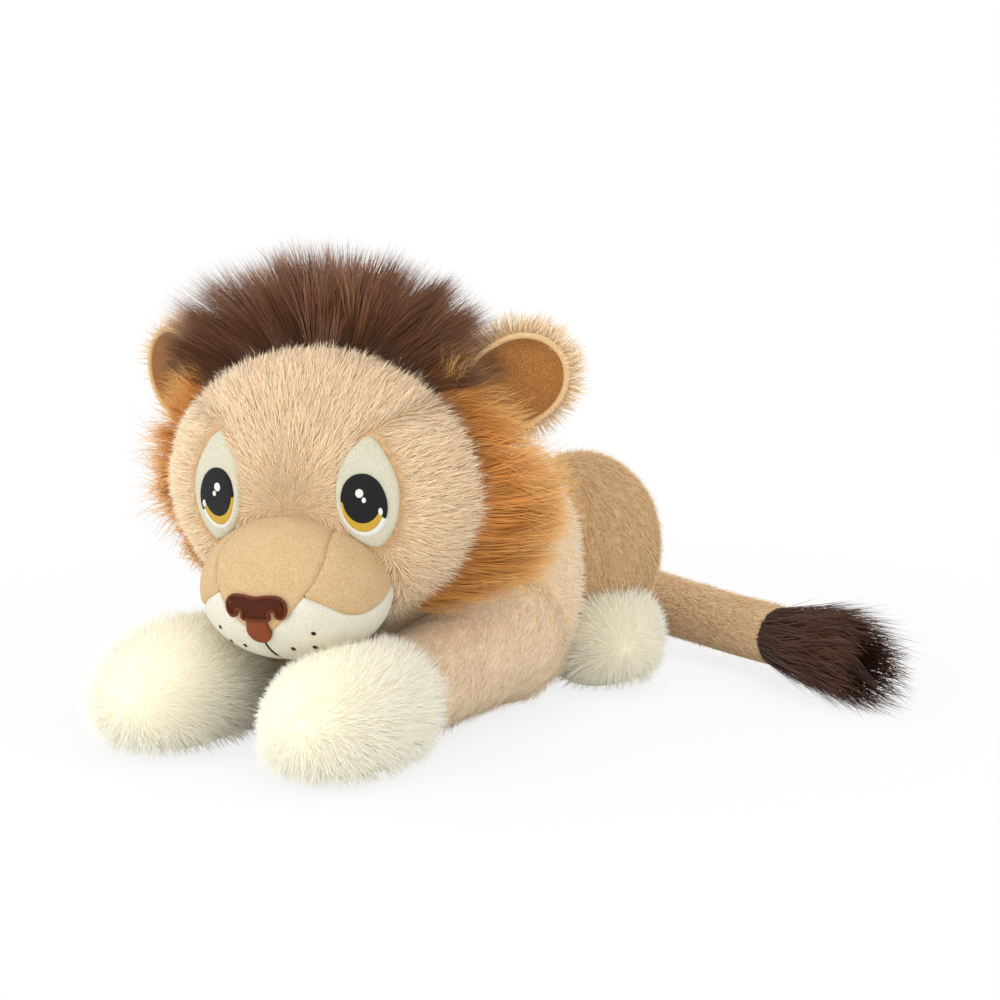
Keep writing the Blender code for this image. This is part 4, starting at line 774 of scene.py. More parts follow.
RUFF_REAR_AT_EAR = math.radians(96)
RUFF_REAR = math.radians(116)
RUFF_LOWEST_LEAN = math.radians(104)
RUFF_LENGTH_SHARES = ((0, 0.62), (0.3, 0.76), (0.5, 1.0), (0.8, 1.0), (1, 0.66))
RUFF_RIGHT_SHARE = 0.78
RUFF_REAR_SHORTER = 0.15
RUFF_ROWS = (("front", 0, 0.45), ("rear", 0.45, 1))
RUFF_BACK_SHARES = ((0, 0.05), (0.36, 0.2), (0.55, 0.6), (1, 0.6))
ROOT_SINK = 0.004
HAIR = {"lift": 0.0, "segments": 3}
HAIR_SPACING = 0.00056


def on_back(turn, level):
    """A point just under the back cover at a turn from the top and an angle from the front pole."""
    turn = math.atan2(math.sin(turn) / HEAD_HALF_WIDTH, math.cos(turn) / HEAD_HALF_HEIGHT)
    return HEAD_CENTRE + Vector(((HEAD_HALF_WIDTH - ROOT_SINK) * math.sin(level) * math.sin(turn),
                                 -(BACK_DEPTH - ROOT_SINK) * math.cos(level),
                                 (HEAD_HALF_HEIGHT - ROOT_SINK) * math.sin(level) * math.cos(turn)))


def root_strip(name, rows, columns, cell):
    """A strip that only carries roots: cell gives a place, a lean, a length share and a density."""
    data = bpy.data.meshes.new(name)
    cells = [[cell(r / (rows - 1), c / (columns - 1)) for c in range(columns)] for r in range(rows)]
    points = [HEAD_PLACE @ item[0] for row in cells for item in row]
    faces = [(r * columns + c, r * columns + c + 1, (r + 1) * columns + c + 1, (r + 1) * columns + c)
             for r in range(rows - 1) for c in range(columns - 1)]
    data.from_pydata(points, [], faces)
    middle = HEAD_PLACE @ HEAD_CENTRE
    if data.polygons[0].normal.dot(data.polygons[0].center - middle) < 0:
        data.flip_normals()
    direction, length, density, shade = pile_attributes(data)
    for i, item in enumerate(item for row in cells for item in row):
        direction.data[i].vector = (head_turn @ item[1]).normalized()
        length.data[i].value = item[2]
        density.data[i].value = item[3]
    return data


def crest_cell(back, across):
    """The crest's roots. Its front row stands straight up and the rows behind lean back."""
    turn = CREST_HALF_SPAN * (across * 2 - 1)
    level = CREST_LEVELS[0] + (CREST_LEVELS[1] - CREST_LEVELS[0]) * back
    right = max(0, -math.sin(turn))
    spread = CREST_SPREAD + CREST_RIGHT_SPREAD * right
    lean = Vector((math.sin(turn) * spread, between(CREST_LEAN_SHARES, back), math.cos(turn)))
    share = between(CREST_LENGTH_SHARES, back) * between(CREST_END_SHARES, abs(across * 2 - 1))
    share *= 1 + CREST_RIGHT_LONGER * right
    return on_back(turn, level), lean, share, 1.0


def back_mane_cell(back, across):
    """The mane over the back of the head, which falls backwards and outwards."""
    turn = BACK_MANE_HALF_SPAN * (across * 2 - 1)
    level = BACK_MANE_LEVELS[0] + (BACK_MANE_LEVELS[1] - BACK_MANE_LEVELS[0]) * back
    lean = Vector((math.sin(turn) * math.sin(level), -math.cos(level) * BACK_MANE_BACKWARD,
                   math.cos(turn) * math.sin(level) - BACK_MANE_DROP))
    return on_back(turn, level), lean, 1 - BACK_MANE_SHORTER * back, 1.0


def ruff_cell(side):
    """The ruff of one side, from in front of the ear down to the chin."""
    def cell(down, back):
        turn = RUFF_TURNS[0] + (RUFF_TURNS[1] - RUFF_TURNS[0]) * down
        past_ear = min(1, max(0, (turn - RUFF_EAR) / (RUFF_LOWEST_LEAN - RUFF_EAR)))
        rear = RUFF_REAR_AT_EAR + (RUFF_REAR - RUFF_REAR_AT_EAR) * past_ear
        out = min(turn, RUFF_LOWEST_LEAN)
        lean = Vector((math.sin(out) * side, between(RUFF_BACK_SHARES, down), math.cos(out)))
        share = between(RUFF_LENGTH_SHARES, down) * (1 - RUFF_REAR_SHORTER * back)
        share *= 1 if side > 0 else RUFF_RIGHT_SHARE
        return on_back(turn * side, RUFF_FRONT + (rear - RUFF_FRONT) * back), lean, share, 1.0
    return cell


# Mane fibre, longer and smoother than plush: it shines softly and gathers into pointed locks, dark between
# them and pale at their tips. It too is drawn about 1 mm thick, so that single hairs show.
crest_pile = pile_material("brown_mane_fibre", "#422417", "#72472D", "#987259", 0.66, 1.18, 0.5)
ruff_pile = pile_material("orange_ruff_fibre", "#B05A16", "#E4963C", "#F8CE8A", 0.72, 1.14, 0.55)
for row, first, last in CREST_ROWS:
    def row_cell(back, across, first=first, last=last):
        return crest_cell(first + (last - first) * back, across)

    grow(f"mane_crest_{row}_pile", root_strip(f"crest_{row}_roots", 10, 70, row_cell), crest_pile, "head",
         "brown_pile", ["mane_crest"] if row == "front" else (), spacing=HAIR_SPACING, length=CREST_LENGTH,
         thickness=0.0012, bend=0.16, scatter=0.05, lock_size=0.014, lock_pull=1.0, least_share=0.82, **HAIR)
grow("mane_back_pile", root_strip("back_mane_roots", 16, 70, back_mane_cell), crest_pile, "head",
     "brown_pile", ["mane_back"], spacing=0.0012, length=BACK_MANE_LENGTH, thickness=0.0014, scatter=0.16,
     lock_size=0.018, lock_pull=0.5, **HAIR)
for side, word in SIDES:
    for row, first, last in RUFF_ROWS:
        def row_cell(down, back, first=first, last=last):
            return ruff_cell(side)(down, first + (last - first) * back)

        grow(f"ruff_{word}_{row}_pile", root_strip(f"ruff_{word}_{row}_roots", 60, 8, row_cell), ruff_pile,
             "head", "orange_pile", [f"ruff_{word}"] if row == "front" else (), spacing=HAIR_SPACING,
             length=RUFF_LENGTH, thickness=0.0012, bend=0.32, scatter=0.09, lock_size=0.013, lock_pull=1.15,
             least_share=0.55, **HAIR)

# Ears: a bowl of the face's plush with a lining of short orange velour, painted darker as shade in the hollow,
# sewn together under a narrow rim of the same velour, painted paler as its highlight. Each is sewn into the
# seam between the face and the back of the head by its foot.
EAR_TURN = math.radians(62)
EAR_YAW = math.radians(28)
EAR_BEHIND = 0.027
EAR_LENGTH = 0.080
EAR_HALF_WIDTH = 0.038
EAR_DEPTH = 0.009
EAR_ROOT_CLEARANCE = 0.0010
EAR_MIDDLE = EAR_LENGTH * 0.46
EAR_ROOT_SQUARE = 0.72
EAR_SKIN_SHARES = ((0, 0.9), (0.45, 1.0), (0.82, 0.95), (0.96, 0.6), (1, 0), (0.96, -0.6), (0.87, -1.0),
                   (0.79, -0.7), (0.68, -0.3), (0.36, -0.1), (0, -0.05))
EAR_BACKING_SHARE = 0.93
EAR_BACKING_DEPTH_SHARE = 0.75
EAR_LINED_SHARE = 0.86
EAR_FUR_BACK = 0.7
EAR_FOOT = 0.05
EAR_LINING_SHARES = ((0, -0.25), (0.36, -0.28), (0.60, -0.42), (0.70, -0.75), (0.76, -1.10), (0.80, -1.3))
EAR_LINING_DEPTH = 0.0022
EAR_LINING_REAR_SHARE = 0.985
EAR_RIM_SHARE = 0.83
EAR_RIM_DEPTH = -1.22
EAR_RIM_RADIUS = 0.0021
# A real nap's fibres are far under 1 mm thick. They are drawn at 1.1 mm, so that they show at all.
VELOUR_FIBRE = 0.0011
VELOUR_MOTTLES_PER_METRE = 70.0
VELOUR_MOTTLE_SHARE = 0.18
VELOUR_RELIEF = 0.0005
VELOUR_ROUGHNESS = 0.85
VELOUR_SHEEN_ROUGHNESS = 0.5


def velour_material(name, dark, light, sheen):
    """Short velour: a fine even nap that goes paler at a glancing angle, over a soft mottle."""
    material, shader = new_material(name, VELOUR_ROUGHNESS)
    tree = material.node_tree
    place = add(tree, "ShaderNodeTexCoord").outputs["Object"]
    nap = add(tree, "ShaderNodeTexNoise", {"Vector": place, "Scale": 1 / VELOUR_FIBRE, "Detail": 2.0})
    mottle = add(tree, "ShaderNodeTexNoise",
                 {"Vector": place, "Scale": VELOUR_MOTTLES_PER_METRE, "Detail": 3.0})
    both = add(tree, "ShaderNodeMix", {0: VELOUR_MOTTLE_SHARE, 2: nap, 3: mottle}, data_type="FLOAT")
    colour = add(tree, "ShaderNodeValToRGB", {"Fac": both}, stops=((0.37, dark), (0.63, light)))
    bump = add(tree, "ShaderNodeBump", {"Height": nap, "Distance": VELOUR_RELIEF, "Strength": 0.9})
    tree.links.new(colour.outputs[0], shader.inputs["Base Color"])
    tree.links.new(bump.outputs[0], shader.inputs["Normal"])
    shader.inputs["Sheen Weight"].default_value = sheen
    shader.inputs["Sheen Roughness"].default_value = VELOUR_SHEEN_ROUGHNESS
    return material


def ear_ring(share, depth, count=72):
    """A ring of the ear's outline, shrunk by a share towards its middle, at a depth behind its plane."""
    if share == 0:
        return [Vector((0, depth, EAR_MIDDLE))]
    ring = []
    for i in range(count):
        turn = 2 * math.pi * i / count
        rise, side = math.sin(turn), math.cos(turn)
        reach = EAR_LENGTH - EAR_MIDDLE if rise > 0 else EAR_MIDDLE + EAR_DEPTH
        if rise < 0:
            side = math.copysign(abs(side) ** EAR_ROOT_SQUARE, side)
            rise = -abs(rise) ** EAR_ROOT_SQUARE
        ring.append(Vector((EAR_HALF_WIDTH * share * side, depth, EAR_MIDDLE + reach * share * rise)))
    return ring


def ear_place(side):
    """The ear's place on the head: its origin is the middle of the fold axis."""
    squash = math.sqrt(1 - (EAR_BEHIND / BACK_DEPTH) ** 2)
    wide, tall = HEAD_HALF_WIDTH * squash, HEAD_HALF_HEIGHT * squash
    skin = 1 / math.sqrt((math.sin(EAR_TURN) / wide) ** 2 + (math.cos(EAR_TURN) / tall) ** 2)
    reach = skin + EAR_DEPTH + EAR_ROOT_CLEARANCE
    root = HEAD_CENTRE + Vector((math.sin(EAR_TURN) * side * reach, EAR_BEHIND, math.cos(EAR_TURN) * reach))
    return (HEAD_PLACE @ Matrix.Translation(root) @ Matrix.Rotation(EAR_YAW * side, 4, "Z")
            @ Matrix.Rotation(EAR_TURN * side, 4, "Y"))


def finer(points, count):
    """Points of two values at even steps along a smooth curve through the given ones."""
    return [point.to_2d() for point in smooth_line([Vector((*point, 0)) for point in points], count)]


# Sheared orange velour for the lining, smoother than the plush round it and painted darker as shade in the
# ear's hollow, and the same velour for the rim, painted paler as its highlight.
ear_shaded_velour = velour_material("orange_shaded_velour_nap", "#965F2C", "#BC8446", 0.15)
rim_highlight_velour = velour_material("rim_highlight_velour_nap", "#D6AC74", "#E8C898", 0.15)
for side, word in SIDES:
    ear = f"ear_{word}"
    place = ear_place(side)
    inverse, turned = place.inverted(), place.to_3x3()
    profile = finer(EAR_SKIN_SHARES, 41)
    rings = [ear_ring(max(0, share) * EAR_BACKING_SHARE, depth * EAR_DEPTH * EAR_BACKING_DEPTH_SHARE)
             for share, depth in profile]
    made = piece(f"{ear}_backing", closed_mesh(rings, place), face_shaded_backing, ear, "pale_plush",
                 [f"{ear}_back"])

    def ear_flow(at, normal):
        local = inverse @ at
        away = Vector((local.x / EAR_HALF_WIDTH, 0, (local.z - EAR_MIDDLE) / EAR_MIDDLE))
        lined = local.y < 0 and away.length < EAR_LINED_SHARE
        return turned @ (away + Vector((0, EAR_FUR_BACK, 0))), 1.0, 0.0 if lined else 1.0

    comb(made.data, ear_flow, EAR_FOOT)
    grow(f"{ear}_pile", made.data, face_pile, ear, "pale_plush", spacing=0.0012, length=0.0210,
         thickness=0.0010, lift=0.75, segments=2)
    profile = finer(EAR_LINING_SHARES, 22)
    front = [ear_ring(max(0, share), depth * EAR_DEPTH) for share, depth in profile]
    rear = [ear_ring(max(0, share) * EAR_LINING_REAR_SHARE, depth * EAR_DEPTH + EAR_LINING_DEPTH)
            for share, depth in profile]
    piece(f"{ear}_velour", closed_mesh(front + rear[::-1], place), ear_shaded_velour, ear, "orange_velour",
          [f"{ear}_lining"])
    turns = [2 * math.pi * i / 12 for i in range(12)]
    hoop = [ear_ring(EAR_RIM_SHARE + EAR_RIM_RADIUS / EAR_HALF_WIDTH * math.cos(t),
                     EAR_RIM_DEPTH * EAR_DEPTH + EAR_RIM_RADIUS * math.sin(t)) for t in turns]
    piece(f"{ear}_rim", closed_mesh(hoop, place, hoop=True), rim_highlight_velour, ear, "orange_velour")

# Muzzle: five panels of short velour over a firm wad of filling, sewn edge to edge and on to the face. The
# bridge and the cheeks are tan, and the two lips white.
MUZZLE_RIM = 118
BRIDGE_SEAM = ((76, 29), (62, 39), (49, 52), (38, 66), (30, 84), (25, 101), (22, MUZZLE_RIM))
LIP_SEAM = ((76, 29), (92, 42), (102, 56), (102, 71), (95, 88), (87, 104), (84, MUZZLE_RIM))
NOSE_LEVEL = -27
LIP_START_LEVEL = 27
BROW_POWER = 1.5
BROW_SHARES = (0.12, 0.25, 0.5, 0.75)
BROW_FADE = 6
CROWN_FADE_POWER = 4
SEAM_ROWS, BROW_ROWS = 44, 20
BRIDGE_COLUMNS, CHEEK_COLUMNS, LIP_COLUMNS = 44, 19, 27
WAD_SINK = -0.0008
PANEL_THICKNESS = 0.0020
SEAM_GROOVE = 0.0013
SEAM_SOFTNESS = 0.0016
PUFF = 0.0009
PUFF_REACH = 0.010


def on_muzzle(turn, level, lift=0):
    """The muzzle's point at a turn from its top and an angle from the nose, in degrees, and its normal."""
    turn, level = math.radians(turn), math.radians(level)
    tall = MUZZLE_UP if math.cos(turn) > 0 else MUZZLE_DOWN
    point = Vector((MUZZLE_HALF_WIDTH * math.sin(level) * math.sin(turn), -MUZZLE_DEPTH * math.cos(level),
                    tall * math.sin(level) * math.cos(turn)))
    normal = Vector((point.x / MUZZLE_HALF_WIDTH ** 2, point.y / MUZZLE_DEPTH ** 2, point.z / tall ** 2))
    normal.normalize()
    return MUZZLE_CENTRE + point + normal * lift, normal


def on_muzzle_front(x, z, lift=0):
    """The muzzle's point x aside and z above its middle, lifted off the surface."""
    tall = MUZZLE_UP if z > 0 else MUZZLE_DOWN
    sine = math.hypot(x / MUZZLE_HALF_WIDTH, z / tall)
    turn = math.atan2(x / MUZZLE_HALF_WIDTH, z / tall)
    return on_muzzle(math.degrees(turn), math.degrees(math.asin(min(1, sine))), lift)[0]


def to_map(turn, level):
    """A turn and a level as a place on a flat map of the muzzle."""
    return Vector((math.sin(math.radians(turn)) * level, math.cos(math.radians(turn)) * level))


def from_map(aside, above):
    """A place on the flat map as a turn and a level."""
    return math.degrees(math.atan2(aside, above)), math.hypot(aside, above)


def finer_seam(seam, count):
    """A seam with more points, smoothed on the flat map."""
    return [from_map(*point) for point in finer([to_map(*point) for point in seam], count)]


def quilted(name, grid, side, material, slot, replaced):
    """A panel from a grid on the muzzle, its edges drawn down into the seams and its middle filled out."""
    cells = [[on_muzzle(turn * side, level) for turn, level in row] for row in grid]
    rows, columns = len(cells), len(cells[0])
    rim = [cell[0] for cell in cells[0]] + [row[0][0] for row in cells] + [row[-1][0] for row in cells]

    def layer(lift, shaped):
        points = []
        for row in cells:
            for at, normal in row:
                edge = min((at - other).length for other in rim)
                fall = SEAM_GROOVE * math.exp(-(edge / SEAM_SOFTNESS) ** 2)
                swell = PUFF * (1 - math.exp(-edge / PUFF_REACH))
                points.append(at + normal * (lift + (swell - fall if shaped else 0)))
        return points

    outer, inner = layer(PANEL_THICKNESS, True), layer(-PANEL_THICKNESS, False)
    mesh = bmesh.new()
    verts = [mesh.verts.new(point) for point in outer + inner]
    shift = rows * columns
    for r in range(rows - 1):
        for c in range(columns - 1):
            a, b = r * columns + c, (r + 1) * columns + c
            mesh.faces.new([verts[i] for i in (a, a + 1, b + 1, b)])
            mesh.faces.new([verts[i + shift] for i in (a, b, b + 1, a + 1)])
    loop = list(range(columns)) + [r * columns + columns - 1 for r in range(1, rows)]
    loop += [shift - 1 - c for c in range(1, columns)] + [r * columns for r in range(rows - 2, 0, -1)]
    for a, b in zip(loop, loop[1:] + loop[:1]):
        mesh.faces.new([verts[i] for i in (a, a + shift, b + shift, b)])
    bmesh.ops.recalc_face_normals(mesh, faces=mesh.faces)
    mesh.transform(HEAD_PLACE)
    return piece(name, mesh, material, "head", slot, [replaced])


# Velour for the sewn panels: it looks smooth beside the plush, and its seams show as soft dark grooves.
tan_velour = velour_material("tan_velour_nap", "#C29F70", "#D8BA90", 0.12)
white_velour = velour_material("white_velour_nap", "#D6D1BE", "#E8E4D5", 0.12)
bridge_line = finer_seam(BRIDGE_SEAM, SEAM_ROWS)
lip_line = finer_seam(LIP_SEAM, SEAM_ROWS)
start_level = bridge_line[0][1]
grid = []
for turn, level in bridge_line:
    aside, above = to_map(turn, level)
    out = (level - start_level) / (MUZZLE_RIM - start_level)
    crown = (NOSE_LEVEL - above) * (1 - out) ** CROWN_FADE_POWER + (level - above) * out
    power = BROW_POWER + (2 - BROW_POWER) * min(1, out * BROW_FADE)
    grid.append([from_map(aside * across, above + crown * (1 - abs(across) ** power))
                 for across in [2 * c / BRIDGE_COLUMNS - 1 for c in range(BRIDGE_COLUMNS + 1)]])
quilted("muzzle_bridge_velour", grid, 1, tan_velour, "tan_velour", "muzzle_bridge")
peak = to_map(*BRIDGE_SEAM[0])
brow = [from_map(peak.x * share, NOSE_LEVEL + (peak.y - NOSE_LEVEL) * share ** BROW_POWER)
        for share in BROW_SHARES]
brow_line = finer_seam(brow + [BRIDGE_SEAM[0]], BROW_ROWS)
lip_edge = brow_line[:-1] + lip_line
for side, word in SIDES:
    grid = [[(a + (b - a) * c / CHEEK_COLUMNS, m + (n - m) * c / CHEEK_COLUMNS)
             for c in range(CHEEK_COLUMNS + 1)] for (a, m), (b, n) in list(zip(bridge_line, lip_line))[1:]]
    quilted(f"muzzle_cheek_{word}_velour", grid, side, tan_velour, "tan_velour", f"muzzle_cheek_{word}")
    grid = []
    for r, (turn, level) in enumerate(lip_edge):
        low = LIP_START_LEVEL + (MUZZLE_RIM - LIP_START_LEVEL) * r / (len(lip_edge) - 1)
        grid.append([(turn + (180 - turn) * c / LIP_COLUMNS, level + (low - level) * c / LIP_COLUMNS)
                     for c in range(LIP_COLUMNS + 1)])
    quilted(f"muzzle_lip_{word}_velour", grid, side, white_velour, "white_velour", f"muzzle_lip_{word}")
# The wad's plain cloth, seen at most as a dull line down in a seam.
wad_backing = backing_material("wad_cloth", "#C9A875", "#D9BC8C")
rings = [[on_muzzle(0, 0, 0)[0]]] + [[on_muzzle(360 * i / 48, level, WAD_SINK)[0] for i in range(48)]
                                     for level in range(6, MUZZLE_RIM + 1, 8)]
piece("muzzle_wad", closed_mesh(rings + [[HEAD_CENTRE - Vector((0, 0, MUZZLE_UP))]], HEAD_PLACE), wad_backing,
      "head", "fibre_filling", ["muzzle_filling"])

# Nose, mouth and whisker dots, all in satin stitch on the muzzle's panels: a raised dark brown nose with a
# small hook at each side and a sewn cord along its edge, a redder bulb below it, a line for the mouth and
# three dots a side.
NOSE_LIFT = 0.0018
NOSE_HALF = Vector((0.0215, 0.0076))
NOSE_Z = -0.0016
NOSE_SHARES = ((0, 0.88), (0.45, 1.0), (0.82, 0.90), (0.94, 0.30), (0.70, -0.20), (0.48, -0.50), (0.42, -1.0))
NOSE_CORD_SHARES = ((0, 0.88), (0.45, 1.02), (0.82, 0.94), (1.02, 0.40), (1.02, -0.34), (0.88, -0.80),
                    (0.71, -0.66), (0.69, -0.26), (0.57, -0.12), (0.45, -0.40), (0.42, -1.0))
NOSE_CORD_RADIUS = 0.0013
NOSE_CORD_LIFT = 0.0042
BULB_HALF = Vector((0.0092, 0.0088))
BULB_Z = -0.0175
BULB_SHARES = ((0, 1.0), (0.74, 0.98), (0.94, 0.30), (1.0, -0.22), (0.74, -0.72), (0.32, -0.96), (0, -1.0))
HOOK = Vector((0.0184, -0.0036))
HOOK_HALF = Vector((0.0030, 0.0046))
NOSE_THICKNESS = 0.0034
NOSE_TOP_SHARE, BULB_SHARE = 0.7, 0.9
STITCH_LIFT = 0.0006
MOUTH_LENGTH = 0.016
MOUTH_HALF_WIDTH = 0.0006
MOUTH_THICKNESS = 0.0012
MOUTH_STEPS = 12
DOT_RADIUS = 0.0014
DOT_THICKNESS = 0.0010
DOT_SHARES = ((0.27, -0.65), (0.52, -0.40), (0.47, -0.63))
PILLOW_STEPS = ((1.0, 0), (1.0, 0.45), (0.975, 0.78), (0.93, 0.95), (0.85, 1.0), (0.68, 1.0), (0.5, 1.0),
                (0.32, 1.0), (0.16, 1.0))
# Embroidery thread is about 0.3 mm across. It is drawn at 0.6 mm, and 1.1 mm on the nose, so that it shows.
THREAD = 0.0006
NOSE_THREAD = 0.0011
THREAD_RELIEF = 0.00025


def thread_material(name, dark, light, thread=THREAD, roughness=0.45, bands="Z"):
    """Satin stitch: threads side by side, each round, with a soft shine, and a painted shine and shade in
    their colour.
    """
    material, shader = new_material(name, roughness)
    tree = material.node_tree
    place = add(tree, "ShaderNodeTexCoord").outputs["Object"]
    lay = add(tree, "ShaderNodeTexWave",
              {"Vector": place, "Scale": math.pi / (10 * thread), "Distortion": 1.0, "Detail": 1.0},
              wave_type="BANDS", bands_direction=bands).outputs["Fac"]
    # Painted shine and shade: each thread is coloured lighter along its crown and darker between threads.
    colour = add(tree, "ShaderNodeValToRGB", {"Fac": lay}, stops=((0.1, dark), (0.7, light)))
    bump = add(tree, "ShaderNodeBump", {"Height": lay, "Distance": THREAD_RELIEF, "Strength": 0.8})
    tree.links.new(colour.outputs[0], shader.inputs["Base Color"])
    tree.links.new(bump.outputs[0], shader.inputs["Normal"])
    return material


def both_halves(half):
    """A closed outline from its left half, which starts and may end on the middle line."""
    return half + tuple((-x, z) for x, z in half[::-1] if x > 0)


def outline_through(corners, count):
    """A smooth closed outline through corner points."""
    ends = list(corners)[-2:] + list(corners) + list(corners)[:3]
    line = smooth_line([Vector((*point, 0)) for point in ends], count * (len(ends) - 1) // len(corners) + 1)
    steps = (len(line) - 1) / (len(ends) - 1)
    first = round(2 * steps)
    return [point.to_2d() for point in line[first:first + round(len(corners) * steps)]]


def shaped(shares, x, z, half):
    """The points of an outline whose shares are of a half width and half height about a middle."""
    return [Vector((x + half.x * aside, z + half.y * up)) for aside, up in shares]


def ellipse(x, z, across, up, count=56):
    """The points of an ellipse."""
    turns = [2 * math.pi * i / count for i in range(count)]
    return [Vector((x + across * math.cos(turn), z + up * math.sin(turn))) for turn in turns]


def pillow(name, outline, place, base, height, material, slot, replaced=()):
    """A pad with a rounded edge, laid on a surface: place turns a spot and a lift into a point."""
    middle = sum(outline, Vector((0, 0))) / len(outline)
    rings = [[place(*middle, base)]]
    rings += [[place(*middle.lerp(point, share), base + height * rise) for point in outline]
              for share, rise in ((0.5, 0),) + PILLOW_STEPS]
    rings.append([place(*middle, base + height)])
    return piece(name, closed_mesh(rings, HEAD_PLACE), material, "head", slot, replaced)


def stitched_cord(name, outline, lift, radius, material, slot):
    """A closed cord sewn along an outline on the muzzle."""
    middles = [on_muzzle_front(*point, lift) for point in outline]
    rings = []
    for i, middle in enumerate(middles):
        ahead = (middles[(i + 1) % len(middles)] - middles[i - 1]).normalized()
        out = (on_muzzle_front(*outline[i], lift + radius) - middle).normalized()
        aside = ahead.cross(out).normalized()
        rings.append([middle + (out * math.sin(t) + aside * math.cos(t)) * radius
                      for t in [2 * math.pi * k / 10 for k in range(10)]])
    return piece(name, closed_mesh(rings, HEAD_PLACE, hoop=True), material, "head", slot)


# Rayon thread in satin stitch: it catches the light along each thread, and that shine and the shade between
# threads are also painted in its colour, so that dark stitching shows its lay.
nose_edge = thread_material("nose_cord", "#4A1A06", "#7A3612")
nose_satin = thread_material("nose_satin", "#341002", "#5A2204", NOSE_THREAD, 0.75, "X")
bulb_velour = thread_material("bulb_satin", "#6E2A0C", "#984A18")
dark_thread = thread_material("dark_stitch", "#120B09", "#2C1C17")
nose = outline_through(shaped(both_halves(NOSE_SHARES), 0, NOSE_Z, NOSE_HALF), 96)
pillow("nose_satin_top", nose, on_muzzle_front, NOSE_LIFT, NOSE_THICKNESS * NOSE_TOP_SHARE, nose_satin,
       "nose_velour", ["nose_top"])
for side, word in SIDES:
    pillow(f"nose_satin_hook_{word}", ellipse(HOOK.x * side, HOOK.y, *HOOK_HALF, 28), on_muzzle_front,
           NOSE_LIFT, NOSE_THICKNESS * NOSE_TOP_SHARE, nose_satin, "nose_velour")
cord = outline_through(shaped(both_halves(NOSE_CORD_SHARES), 0, NOSE_Z, NOSE_HALF), 160)
stitched_cord("nose_cord_edge", cord, NOSE_CORD_LIFT, NOSE_CORD_RADIUS, nose_edge, "nose_velour")
bulb = outline_through(shaped(both_halves(BULB_SHARES), 0, BULB_Z, BULB_HALF), 64)
pillow("nose_bulb_satin", bulb, on_muzzle_front, NOSE_LIFT, NOSE_THICKNESS * BULB_SHARE, bulb_velour,
       "nose_velour", ["nose_bulb"])
mouth_top = BULB_Z - BULB_HALF.y + STITCH_LIFT
mouth = [Vector((side * MOUTH_HALF_WIDTH, mouth_top - MOUTH_LENGTH * (share if side > 0 else 1 - share)))
         for side in (1, -1) for share in [i / MOUTH_STEPS for i in range(MOUTH_STEPS + 1)]]
pillow("mouth_stitch", mouth, on_muzzle_front, STITCH_LIFT, MOUTH_THICKNESS, dark_thread, "dark_thread",
       ["mouth_line"])
for side, word in SIDES:
    for number, (aside, up) in enumerate(DOT_SHARES, 1):
        spot = ellipse(MUZZLE_HALF_WIDTH * aside * side, MUZZLE_DOWN * up, DOT_RADIUS, DOT_RADIUS, 20)
        pillow(f"whisker_stitch_{word}_{number}", spot, on_muzzle_front, NOSE_LIFT + STITCH_LIFT,
               DOT_THICKNESS, dark_thread, "dark_thread", [f"whisker_dot_{word}_{number}"])

# Eyes: a leaf of cream velour let into the face. On it the eye is embroidered in satin stitch: a white
# crescent, a gold one over it, the black pupil with its lash line, and three white glints.
PATCH_BED = -0.0100
PATCH_TOP = -0.0040
EYE = Vector((0.0598, -0.0004))
PUPIL = Vector((0.0142, 0.0184))
IRIS_MIDDLE = Vector((0.0600, -0.0050))
IRIS = Vector((0.0154, 0.0205))
WHITE_MIDDLE = Vector((0.0610, -0.0075))
WHITE = Vector((0.0166, 0.0212))
LASH_OUTLINE = ((0.0752, -0.0150), (0.0776, -0.0090), (0.0770, 0.0010), (0.0728, 0.0110), (0.0665, 0.0168),
                (0.0595, 0.0184), (0.0525, 0.0164), (0.0468, 0.0100), (0.0444, 0.0010), (0.0450, -0.0030),
                (0.0475, 0.0020), (0.0540, 0.0070), (0.0640, 0.0070), (0.0715, -0.0020))
THREAD_RISE = 0.0007
GLINT_RISE = 3.1
GLINTS = ((0.0585, 0.0040, 0.0030, 0.0034), (0.0616, -0.0010, 0.0016, 0.0021),
          (0.0728, -0.0095, 0.0016, 0.0030))


def on_face(x, z, lift=0):
    """The point of the face x aside and z above the middle of the head, lifted off the surface."""
    left = 1 - (x / HEAD_HALF_WIDTH) ** 2 - (z / HEAD_HALF_HEIGHT) ** 2
    ahead = FACE_DEPTH * math.sqrt(max(0.001, left))
    normal = Vector((x / HEAD_HALF_WIDTH ** 2, -ahead / FACE_DEPTH ** 2, z / HEAD_HALF_HEIGHT ** 2))
    return HEAD_CENTRE + Vector((x, -ahead, z)) + normal.normalized() * lift


# Cream velour for the leaf, and satin stitch in black, gold and white over it: only the thread shines here.
cream_velour = velour_material("cream_velour_nap", "#C5C0A8", "#D5D1BC", 0.10)
black_thread = thread_material("black_satin", "#08080A", "#19191C")
gold_thread = thread_material("gold_satin", "#BA9226", "#E2BE48")
white_thread = thread_material("white_satin", "#E2E1DA", "#FDFDF9")
